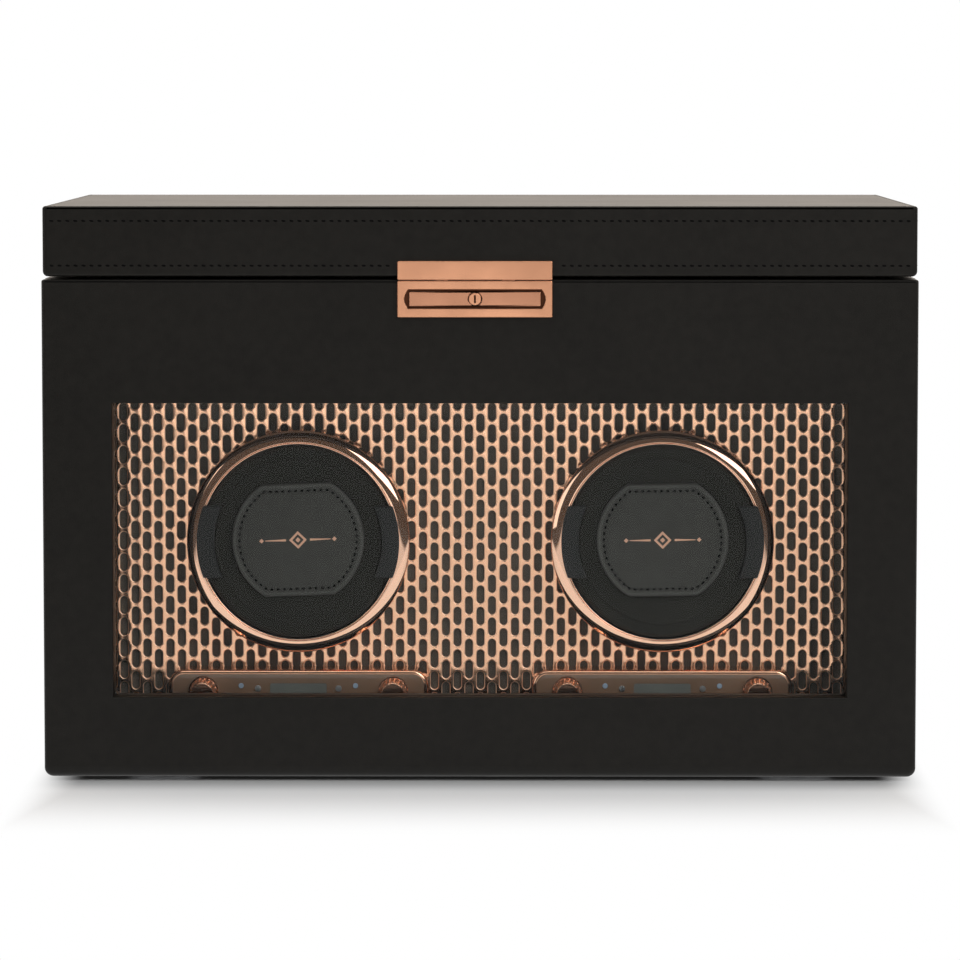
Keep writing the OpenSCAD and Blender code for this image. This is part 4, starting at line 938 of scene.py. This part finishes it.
def latchPlatePiece(cx, cz):
    low, high = corners("latch_plate")
    barLow, barHigh = corners("latch_bar")
    look = latchLook
    past, gap = look["past"], look["shadeGap"]
    face, floorY = low.y + look["proud"], low.y + look["recessDepth"]
    plate = softBlock(low, Vector((high.x, face, high.z)), look["corner"], look["corner"],
                      (look["edge"],) * 3, (look["sharp"],) * 3, 3)
    plate = cutBm(plate, [prism(scoopOutline(cx, cz), low.y - past, floorY + past)])
    rimX, rimZ = look["rimHalf"]
    roundRim(plate, low.y, look["rimEdge"], 3, lambda m: abs(m.x - cx) < rimX and abs(m.z - cz) < rimZ)
    # recess floor with the bar's slot
    lapX, lapY, lapZ = look["bodyLap"]
    body = boxBm((barLow.x - lapX, face - lapY, barLow.z - lapZ),
                 (barHigh.x + lapX, high.y, barHigh.z + lapZ))
    slot = prism(barOutline(cx, cz, look["slideGap"]), low.y - past, high.y - look["bodyFloor"])
    joinInto(plate, cutBm(body, [prism(scoopOutline(cx, cz), low.y - past, floorY), slot]))
    # painted shade on the walls and floor of the recess
    sunk = low.y + look["edge"] + gap
    shadeFaces(plate, lambda m, n: m.y > sunk and abs(m.x - cx) < look["recessHalf"] + gap
               and abs(m.z - cz) < look["recessRise"] + gap)
    finishPiece("latchPlate", plate, "latchCopper latchShadow", "door", ["latch_plate"])


def pushBarPiece(cx, cz):
    low, high = corners("latch_bar")
    look = latchLook
    past = look["past"]
    bore = rodBm(look["plugRadius"] + look["boreGap"], low.y - past, high.y + past, cx, cz, 40)
    bar = cutBm(prism(barOutline(cx, cz, 0), low.y, high.y), [bore])
    roundRim(bar, low.y, look["barRim"], 3)
    # painted shade on the bar's sides
    shadeFaces(bar, lambda m, n: abs(n.y) < 0.3)
    finishPiece("latchBar", bar, "barCopper latchShadow", "latch_button", ["latch_bar"])


def lockPlugPiece(cx, cz):
    low, high = corners("lock_plug")
    look = latchLook
    plug = rodBm(look["plugRadius"], low.y, high.y, cx, cz, 40)
    roundRim(plug, low.y, look["plugEdge"], 3)
    keyway = centredOutline(cx, cz, look["keyHalf"], look["keyRise"], look["keyEdge"], 3)
    plug = cutBm(plug, [prism(keyway, low.y - look["past"], low.y + look["keyDepth"])])
    # painted shade in the keyway
    sunk = low.y + look["edge"]
    shadeFaces(plug, lambda m, n: m.y > sunk and math.hypot(m.x - cx, m.z - cz) < look["plugRadius"])
    finishPiece("lockPlug", plug, "latchCopper latchShadow", "lock", ["lock_plug"])


strikePiece()
for pieceMaker in (latchPlatePiece, pushBarPiece, lockPlugPiece):
    pieceMaker(*middleOf(*corners("latch_bar")))
print("latch ready")

plateLook = dict(inMm(
    slotWidth=2.9, slotLength=6.9, stepX=4.45, stepZ=8.34, margin=2.5, rim=0.34, holeGap=1.4,
), rimSteps=2, arcSteps=8, holeSteps=96)


def drumCircle(side):
    # centre and radius of the plate's hole for one drum
    low, high = corners("drum_cup_" + side)
    return *middleOf(low, high), (high.x - low.x) / 2 + plateLook["holeGap"]


def slotPlaces(low, high):
    look = plateLook
    columns = int((high.x - look["margin"] - look["slotWidth"] / 2) / look["stepX"])
    first = low.z + look["margin"] + look["slotLength"] / 2
    rows = int((high.z - first + look["slotLength"] / 2) / look["stepZ"])
    for column in range(-columns, columns + 1):
        odd = column % 2
        for row in range(-odd, rows + 1):
            yield column * look["stepX"], first + (row + odd / 2) * look["stepZ"]


def slotOutline(x, z):
    look = plateLook
    radius = look["slotWidth"] / 2
    reach = (look["slotLength"] - look["slotWidth"]) / 2
    return (arc(x, z + reach, radius, 0, 180, look["arcSteps"])
            + arc(x, z - reach, radius, 180, 360, look["arcSteps"]))


def platePiece():
    low, high = corners("pattern_plate")
    look = plateLook
    circles = [drumCircle(side) for side in ("left", "right")]

    slack = look["slotLength"] / 2 + look["slotWidth"]

    def inHole(x, z):
        return any(math.hypot(x - cx, z - cz) < r - slack for cx, cz, r in circles)

    points, outlines = [], []

    def addOutline(outline):
        outlines.append(list(range(len(points), len(points) + len(outline))))
        points.extend(Vector(p) for p in outline)

    addOutline([(low.x, low.z), (high.x, low.z), (high.x, high.z), (low.x, high.z)])
    for cx, cz, r in circles:
        addOutline(arc(cx, cz, r, 0, 360 * (1 - 1 / look["holeSteps"]), look["holeSteps"] - 1))
    for x, z in slotPlaces(low, high):
        if not inHole(x, z):
            addOutline(slotOutline(x, z))
    # the sheet as faces, each with the outlines that it lies in: only what lies in the first one stays
    flat, _, faces, _, _, owners = delaunay_2d_cdt(points, [], outlines, 1, 1e-7)
    bm = bmesh.new()
    verts = [bm.verts.new((p.x, low.y, p.y)) for p in flat]
    for face, owner in zip(faces, owners):
        if list(owner) == [0]:
            bm.faces.new([verts[i] for i in face])
    bmesh.ops.delete(bm, geom=[v for v in bm.verts if not v.link_faces], context="VERTS")

    def onBorder(point):
        return isAt(point.x, low.x) or isAt(point.x, high.x) or isAt(point.z, low.z) or isAt(point.z, high.z)

    # walls down from every opening, and a rounded rim where they leave the face, in paler copper as a painted
    # highlight
    rims = [e for e in bm.edges if e.is_boundary and not all(onBorder(v.co) for v in e.verts)]
    walls = bmesh.ops.extrude_edge_only(bm, edges=rims)["geom"]
    bmesh.ops.translate(bm, vec=(0, high.y - low.y, 0), verts=vertsOf(walls))
    roundEdges(bm, rims, look["rim"], look["rimSteps"], 1)
    piece = finishPiece("slottedPlate", bm, "copperPlate copperRim", "case",
                        ["pattern_plate"], 60)
    flipTowards(piece, Vector((0, -1, 0)))
    return piece


def flipTowards(piece, direction):
    # turns an open sheet's faces so that its larger part looks along the direction
    bm = bmesh.new()
    bm.from_mesh(piece.data)
    if sum(f.normal.dot(direction) * f.calc_area() for f in bm.faces) < 0:
        bmesh.ops.reverse_faces(bm, faces=bm.faces)
    bm.to_mesh(piece.data)
    bm.free()


platePiece()
print("slotted plate ready")

drumLook = dict(inMm(
    # section of the bezel ring: brow, shoulder, then groove and bead round the opening
    band=5.3, crest=0.35, brow=7.4, shoulder=0.9, innerRadius=0.25,
    lip=0.62, lipSink=0.25, groove=0.35, grooveGap=0.02, wallBack=3.3,
    # section of the cuff's face, with a low ridge round it
    faceThick=10, edge=2.0, ridgeRadius=31.0, ridgeWidth=1.2, ridgeHeight=0.45,
    ridgeFoot=((-0.8, 0), (-0.1, 0.12)), ridgeTail=((0.2, 0.05), (0.9, 0)),
    # the cuff's body inside the drum
    bodyRadius=9, bodyRoom=(22.9, 14.9), bodyEdge=3, bodyLap=0.2, cupWall=1.3,
), browStart=4.0, shoulderLean=38.0, innerEnd=-170, profileSteps=(10, 14, 5, 10), ringSteps=160,
    cuffSteps=96, edgeSteps=8, ridgeSteps=4, ridgeArc=(0.15, 0.7))


def bezelPiece(side):
    low, high = corners("bezel_ring_" + side)
    look = drumLook
    outer = (high.x - low.x) / 2
    lip = outer - look["band"]
    front, back = low.y, high.y
    crest, brow, shoulder, lean = lip + look["crest"], look["brow"], look["shoulder"], look["shoulderLean"]
    shoulderSteps, browSteps, innerSteps, lipSteps = look["profileSteps"]
    # outer wall, tight shoulder, wide brow that leans outwards, then a bead beside a fine groove
    turn = math.radians(lean)
    shoulderR = crest + (brow - shoulder) * math.sin(turn)
    shoulderY = front + brow - (brow - shoulder) * math.cos(turn)
    profile = [(shoulderR + shoulder, back)]
    profile += arc(shoulderR, shoulderY, shoulder, 0, lean - 90, shoulderSteps)
    start = look["browStart"]
    profile += arc(crest, front + brow, brow, lean - 90, start - 90, browSteps)[1:]
    inner = look["innerRadius"]
    nearX, nearY = profile[-1]
    bendX = nearX - inner * math.sin(math.radians(start))
    bendY = nearY + inner * math.cos(math.radians(start))
    profile += arc(bendX, bendY, inner, start - 90, look["innerEnd"], innerSteps)[1:]
    half = look["lip"] / 2
    profile += [(lip + look["lip"] + look["grooveGap"], front + inner + look["groove"])]
    profile += arc(lip + half, front + look["lipSink"] + half, half, 0, -180, lipSteps)
    profile += [(lip, front + look["wallBack"]), (crest, front + look["wallBack"]), (crest, back)]
    bm = spinProfile(profile, middleOf(low, high), look["ringSteps"])
    finishPiece("bezelRing" + side.capitalize(), bm, "copperMirror", "drum_" + side,
                ["bezel_ring_" + side], 50)


def cuffPiece(side):
    low, high = corners("cuff_pad_" + side)
    look = drumLook
    cx, cz = middleOf(low, high)
    radius = (high.x - low.x) / 2
    front, rear = low.y, low.y + look["faceThick"]
    edge, ridge, wide = look["edge"], look["ridgeRadius"], look["ridgeWidth"]
    profile = [(0, front)]
    profile += [(ridge + out, front - rise) for out, rise in look["ridgeFoot"]]
    arcStart, arcSpan = look["ridgeArc"]  # the part of a half wave that the ridge follows
    for i in range(look["ridgeSteps"] + 1):
        t = i / look["ridgeSteps"]
        rise = look["ridgeHeight"] * math.sin(math.pi * (arcStart + arcSpan * t))
        profile.append((ridge + wide * t, front - rise))
    profile += [(ridge + wide + out, front - rise) for out, rise in look["ridgeTail"]]
    profile += arc(radius - edge, front + edge, edge, -90, 0, look["edgeSteps"])
    profile += [(radius, rear), (0, rear)]
    bm = spinProfile(profile, (cx, cz), look["cuffSteps"])
    cupRadius = drumCircle(side)[2] - plateLook["holeGap"] - look["cupWall"]
    halfW, halfH = (cupRadius - room for room in look["bodyRoom"])
    body = prism(centredOutline(cx, cz, halfW, halfH, look["bodyRadius"], 8), rear - look["bodyLap"], high.y)
    rearRim = [e for e in body.edges if all(isAt(v.co.y, high.y) for v in e.verts)]
    roundEdges(body, rearRim, look["bodyEdge"], 4)
    joinInto(bm, body)
    piece = finishPiece("cuffPad" + side.capitalize(), bm, "velvet", "drum_" + side,
                        ["cuff_pad_" + side], 60)


patchLook = dict(inMm(
    radius=25.3, flat=21.6, thick=1.8, wallEdge=0.55, lift=0.8,
    # steps inwards and outwards from the rim: rounded edge, welt, then the sunk stitch line
    insets=((0.12, 0.33), (0.28, 0.18), (0.4, 0.04), (0.7, -0.02), (0.5, -0.14), (0.45, -0.18),
            (0.45, 0.04), (0.5, 0.18), (0.8, 0.12)),
    stitchInset=2.75, stitchPitch=2.45, stitchLength=1.35, stitchRadius=0.46, stitchSink=0.16,
), arcSteps=24, rimSteps=4, turn={"left": 2.0, "right": 0.8})


def patchOutline(inset):
    # a circle with a flat top and bottom, drawn in by inset
    look = patchLook
    radius, flat = look["radius"] - inset, look["flat"] - inset
    corner = math.degrees(math.asin(flat / radius))
    points = []
    for side, start in ((1, 0), (-1, 180)):
        points += arc(0, 0, radius, -corner + start, corner + start, look["arcSteps"])
        points.append((0, side * flat))
    return points


def patchPiece(side, y, turn):
    look = patchLook
    bm = prism(patchOutline(0), y + look["wallEdge"], y + look["thick"])
    face = min(bm.faces, key=lambda f: f.calc_center_median().y)
    for step, (inset, rise) in enumerate(look["insets"]):
        ring = bmesh.ops.inset_region(bm, faces=[face], thickness=inset, depth=rise, use_even_offset=True)
        for made in ring["faces"]:
            made.material_index = 1 if step < look["rimSteps"] else 0
    for vert in face.verts:
        vert.co.y = y
    bm.transform(turn)
    finishPiece("cuffPatch" + side.capitalize(), bm, "patchLeather patchEdge", "drum_" + side,
                ["cuff_patch_" + side], 60)


def patchStitches(side, y, turn):
    look = patchLook
    thread = stitchBm(look["stitchLength"], look["stitchRadius"])
    outline = [Vector((x, 0, z)) for x, z in patchOutline(look["stitchInset"])]
    sunk = Vector((0, y + look["stitchSink"], 0))
    bm = bmesh.new()
    stamp(bm, thread, (
        turn @ Matrix.Translation(place + sunk) @ Matrix.Rotation(-math.atan2(along.z, along.x), 4, "Y")
        for place, along in evenSpots(outline, look["stitchPitch"])
    ))
    finishPiece("cuffStitching" + side.capitalize(), bm, "thread", "drum_" + side,
                weighted=False)


def patchPieces(side):
    # the patch with its stitching and foil, turned a little as it was sewn on
    low, _ = corners("cuff_patch_" + side)
    drumX, drumZ, _ = drumCircle(side)
    turn = Matrix.Rotation(math.radians(-patchLook["turn"][side]), 4, "Y")
    turn = Matrix.Translation((drumX, 0, drumZ + patchLook["lift"])) @ turn
    for pieceMaker in (patchPiece, patchStitches, foilPiece):
        pieceMaker(side, low.y, turn)


def evenSpots(outline, pitch):
    # even places along a closed outline, each with the outline's direction there
    lengths = [(b - a).length for a, b in zip(outline, outline[1:] + outline[:1])]
    total = sum(lengths)
    count = round(total / pitch)
    spots, walked, index = [], 0.0, 0
    for i in range(count):
        target = total * (i + 0.5) / count
        while walked + lengths[index] < target:
            walked += lengths[index]
            index += 1
        a, b = outline[index], outline[(index + 1) % len(outline)]
        spots.append((a.lerp(b, (target - walked) / lengths[index]), (b - a).normalized()))
    return spots


foilLook = inMm(
    lozenge=3.4, hole=2.2, core=1.0, bead=0.9, beadAt=14.0,
    ruleNear=(4.6, 0.42), ruleFar=(12.6, 0.147),  # place and half width of a rule's ends
    rise=0.06, thick=0.08,
)


def foilPiece(side, faceY, turn):
    # plain ornament stamped in foil: a hollow lozenge between two tapering rules
    look = foilLook
    y = faceY - look["rise"]
    bm = bmesh.new()

    def lozenge(cx, half):
        return [(cx + half, 0), (cx, half), (cx - half, 0), (cx, -half)]

    def sheetOf(outline):
        bm.faces.new([bm.verts.new((x, y, z)) for x, z in outline])

    outer, hole = lozenge(0, look["lozenge"]), lozenge(0, look["hole"])
    for i in range(4):
        j = (i + 1) % 4
        sheetOf([outer[i], outer[j], hole[j], hole[i]])
    sheetOf(lozenge(0, look["core"]))
    near, half = look["ruleNear"]
    far, tip = look["ruleFar"]
    for end in (-1, 1):
        sheetOf([(end * near, -half), (end * near, half), (end * far, tip), (end * far, -tip)])
        sheetOf(lozenge(end * look["beadAt"], look["bead"]))
    bmesh.ops.recalc_face_normals(bm, faces=bm.faces)
    bmesh.ops.solidify(bm, geom=bm.faces[:], thickness=look["thick"])
    bm.transform(turn)
    finishPiece("cuffFoil" + side.capitalize(), bm, "copperFoil", "drum_" + side, weighted=False)


for side in ("left", "right"):
    bezelPiece(side)
    cuffPiece(side)
    patchPieces(side)
print("drums and cuffs ready")


def softenNode(node, width):
    # rounds the edges of a CAD node that stays in view
    thing = frame["nodes"][node]
    look = softenLook
    smoothShade(thing.data)
    weld, flats, bevel, normals = (thing.modifiers.new(kind.lower(), kind)
                                   for kind in ("WELD", "DECIMATE", "BEVEL", "WEIGHTED_NORMAL"))
    weld.merge_threshold = look["weld"]
    flats.decimate_type, flats.angle_limit = "DISSOLVE", math.radians(look["flatAngle"])
    bevel.limit_method, bevel.angle_limit = "ANGLE", math.radians(look["edgeAngle"])
    bevel.width, bevel.segments, bevel.harden_normals = width, look["segments"], True
    normals.keep_sharp = True


panelLook = inMm(
    lower=1.0, upper=6.0, sideEdge=1.6, lowEdge=0.8, topEdge=1.4, backEdge=0.02, wall=2.0, past=3,
    pocketGap=0.05, fasciaSink=0.12, fasciaEdge=0.25,
    # bores: how far from the middle, and how wide
    bushX=36.5, bushRadius=3.0, lampX=22.0, lampRadius=1.0, screwX=15.5, screwRadius=0.72, screwDrop=1.0,
    boreGap=0.04,
    # the display in the smoked strip
    fieldW=22.0, fieldH=14.0, fieldRise=3.9, fieldDepth=0.35, fieldRadius=0.8,
    lensGap=0.08, lensSink=0.1, lensEdge=0.1,
)


def panelBores(cx, y0, y1):
    # bores for the knobs' bushes, the lamps and the screws
    look = panelLook
    knobZ, lampZ = (middleOf(*corners(node))[1] for node in ("knob_left_outer", "indicator_lenses"))
    spots = (("bush", knobZ, 32), ("lamp", lampZ, 24), ("screw", lampZ - look["screwDrop"], 20))
    return [rodBm(look[name + "Radius"] + look["boreGap"], y0, y1, cx + side * look[name + "X"], z, sides)
            for side in (-1, 1) for name, z, sides in spots]


def panelPieces(side):
    look = panelLook
    low, high = corners("control_panel_" + side)
    fasciaLow, fasciaHigh = corners("display_" + side)
    cx, past, wall = (low.x + high.x) / 2, look["past"], look["wall"]
    upper = look["upper"] - (fasciaLow.x - low.x)
    halfX, halfZ = look["fieldW"] / 2, look["fieldH"] / 2
    cz = fasciaLow.z + look["fieldRise"] + halfZ

    def fasciaOutline(grow):
        return grownOutline(fasciaLow, fasciaHigh, grow, upper + grow, 8, look["lower"] + grow)

    def fieldOutline(gap):
        return centredOutline(cx, cz, halfX - gap, halfZ - gap, look["fieldRadius"] - gap)

    block = softBlock(low, high, look["lower"], look["upper"],
                      (look["sideEdge"], look["lowEdge"], look["topEdge"]), (look["backEdge"],) * 3, 6)
    pocket = prism(fasciaOutline(look["pocketGap"]), low.y - past, fasciaHigh.y)
    hollow = boxBm((low.x + wall, low.y + wall, low.z + wall), (high.x - wall, high.y + past, high.z - wall))
    block = cutBm(block, [pocket, hollow, *panelBores(cx, low.y - past, low.y + wall + past)])
    finishPiece("controlPanel" + side.capitalize(), block, "copper", "case",
                ["control_panel_" + side])

    face = fasciaLow.y + look["fasciaSink"]
    fieldBack = face + look["fieldDepth"]
    fascia = prism(fasciaOutline(0), face, fasciaHigh.y)
    roundRim(fascia, face, look["fasciaEdge"], 3)
    fascia = cutBm(fascia, [prism(fieldOutline(0), face - past, fieldBack),
                            *panelBores(cx, face - past, fasciaHigh.y + past)])
    finishPiece("fascia" + side.capitalize(), fascia, "fascia", "case", ["display_" + side])

    lensFace = face + look["lensSink"]
    lens = prism(fieldOutline(look["lensGap"]), lensFace, fieldBack)
    roundRim(lens, lensFace, look["lensEdge"], 2)
    finishPiece("displayLens" + side.capitalize(), lens, "display", "case")


for side in ("left", "right"):
    panelPieces(side)
print("control panels ready")

retainerLook = inMm(lip=0.2, corner=2.2, past=3)


def retainerPiece():
    # frame that holds the glass from behind, set back flush with the leather opening
    low, high = corners("glass_retainer")
    look = retainerLook
    opening = prism(grownOutline(low, high, look["lip"] - doorLook["glassLap"], look["corner"]),
                    low.y - look["past"], high.y + look["past"])
    bm = cutBm(boxBm(low, high), [opening])
    return finishPiece("glassRetainer", bm, "retainer", "door", ["glass_retainer"])


retainerPiece()

storageLook = dict(inMm(
    bayWide=60.0, wall=3.0, cushionInset=4.5, cushionEdge=6, cushionVoxel=4.0, cap=5.0,
    rollGap=0.3, rollInset=1.2, baseDrop=1.5, rollVoxel=2.2, rollPinch=1.6,
), bays=3, pressure=4.0, frames=20, rolls=6, rollPressure=1.6, rollFrames=8)


def inflated(mesh, voxel, pressure, frames, cap):
    # swells a closed mesh with Blender's cloth, holding each point within cap of its start
    thing = linked("swelling", mesh)

    def settle():
        # makes the mesh what its modifiers show
        graph = bpy.context.evaluated_depsgraph_get()
        settled = bpy.data.meshes.new_from_object(thing.evaluated_get(graph))
        thing.modifiers.clear()
        thing.data = settled
        return settled

    remesh = thing.modifiers.new("even", "REMESH")
    remesh.mode, remesh.voxel_size = "VOXEL", voxel
    result = settle()
    start = [v.co.copy() for v in result.vertices]
    cloth = thing.modifiers.new("cloth", "CLOTH")
    cloth.settings.use_pressure = True
    cloth.settings.uniform_pressure_force = pressure
    cloth.settings.effector_weights.gravity = 0
    cloth.settings.quality = 4
    cloth.point_cache.frame_start, cloth.point_cache.frame_end = 1, frames
    for step in range(1, frames + 1):
        scene.frame_set(step)
    result = settle()
    scene.frame_set(1)
    for vert, home in zip(result.vertices, start):
        move = vert.co - home
        if move.length > cap:
            vert.co = home + move * (cap / move.length)
    bpy.data.objects.remove(thing)
    return result


def keepInside(mesh, low, high):
    # a swollen piece is flat where it meets the walls and the floor round it
    for vert in mesh.vertices:
        for axis in range(3):
            vert.co[axis] = min(max(vert.co[axis], low[axis]), high[axis])


def cushionPiece(name, mesh, replaced):
    piece = linked(name, mesh)
    mesh.materials.append(finishes["cushionSuede"])
    smoothShade(mesh)
    smooth = piece.modifiers.new("soften", "SUBSURF")
    smooth.levels = smooth.render_levels = 1
    declare(piece, "case", replaced)


def bayCushions():
    low, high = corners("storage_cushions")
    look = storageLook
    step = look["bayWide"] + look["wall"]
    width = (high.x - low.x) - (look["bays"] - 1) * step
    inset = Vector((look["cushionInset"],) * 3)
    for i in range(look["bays"]):
        bayLow = Vector((low.x + i * step, low.y, low.z))
        bayHigh = Vector((low.x + i * step + width, high.y, high.z))
        bm = boxBm(bayLow + inset, bayHigh - inset)
        roundEdges(bm, bm.edges[:], look["cushionEdge"], 3)
        mesh = inflated(meshOf(bm, "cushion"), look["cushionVoxel"], look["pressure"], look["frames"],
                        look["cap"])
        keepInside(mesh, bayLow, bayHigh)
        cushionPiece(f"watchCushion{i + 1}", mesh, ["storage_cushions"] if i == 0 else ())


def ringRollPiece():
    # rows of soft rolls that hold rings, over a common base
    low, high = corners("ring_roll")
    look = storageLook
    gap, inset = look["rollGap"], look["rollInset"]
    pitch = (high.y - low.y) / look["rolls"]
    radius = pitch / 2 - gap
    baseHigh = Vector((high.x - gap, high.y - gap, high.z - radius - look["baseDrop"]))
    bm = boxBm(low + Vector((gap, gap, 0)), baseHigh)
    for i in range(look["rolls"]):
        y = low.y + pitch * (i + 0.5)
        joinInto(bm, rodBm(radius - inset, low.x + inset, high.x - inset, y, high.z - radius, 24, "X"))
    mesh = inflated(meshOf(bm, "rolls"), look["rollVoxel"], look["rollPressure"], look["rollFrames"],
                    look["rollPinch"])
    keepInside(mesh, low, high)
    cushionPiece("ringRolls", mesh, ["ring_roll"])


liningLook = {"cells": (66, 36), "edgeShare": 0.35, "roundness": 10, "lengthways": 32}


def liningPiece():
    # padded suede inside the lid, thin at its edges
    low, high = corners("lid_lining")
    look = liningLook
    bm = bmesh.new()
    bmesh.ops.create_grid(bm, x_segments=look["cells"][0], y_segments=look["cells"][1], size=1)
    thick = high.z - low.z
    for vert in bm.verts:
        u, v = vert.co.x, vert.co.y
        swell = (1 - abs(u) ** look["lengthways"]) * (1 - abs(v) ** look["roundness"])
        drop = thick * (look["edgeShare"] + (1 - look["edgeShare"]) * swell)
        vert.co = Vector(((low.x + high.x) / 2 + u * (high.x - low.x) / 2,
                          (low.y + high.y) / 2 + v * (high.y - low.y) / 2, high.z - drop))
    moved = bmesh.ops.extrude_face_region(bm, geom=bm.faces[:])["geom"]
    for vert in vertsOf(moved):
        vert.co.z = high.z
    piece = finishPiece("lidLining", bm, "suede", "lid", ["lid_lining"], 50)
    return piece


for pieceMaker in (bayCushions, ringRollPiece, liningPiece):
    pieceMaker()
print("storage ready")

softenLook = {"weld": 2e-6, "flatAngle": 0.6, "edgeAngle": 32.0, "segments": 2}

# rounding in mm of the nodes that stay in view; a star stands for left and right
softWidths = {
    0.9: "storage_tray", 0.5: "front_rail base_panel rear_cover", 0.4: "storage_floor base_pad",
    0.3: "plate_backing power_inlet window_glass drum_cup_* drum_housing_* motor_*", 0.28: "cuff_clips_*",
    0.25: "lid_hinge_leaves lid_hinge_straps door_hinge_leaves door_hinge_straps indicator_lenses",
    0.2: "knob_switches drum_axle_*", 0.15: "cover_screws hinge_pins control_board",
    0.12: "panel_screws knob_*_outer knob_*_inner", 0.1: "latch_springs", 0.08: "motor_pinion_*",
}
for width, names in softWidths.items():
    for node in names.split():
        for side in ("left", "right") if "*" in node else ("",):
            softenNode(node.replace("*", side), width * mm)
print("carried nodes softened")
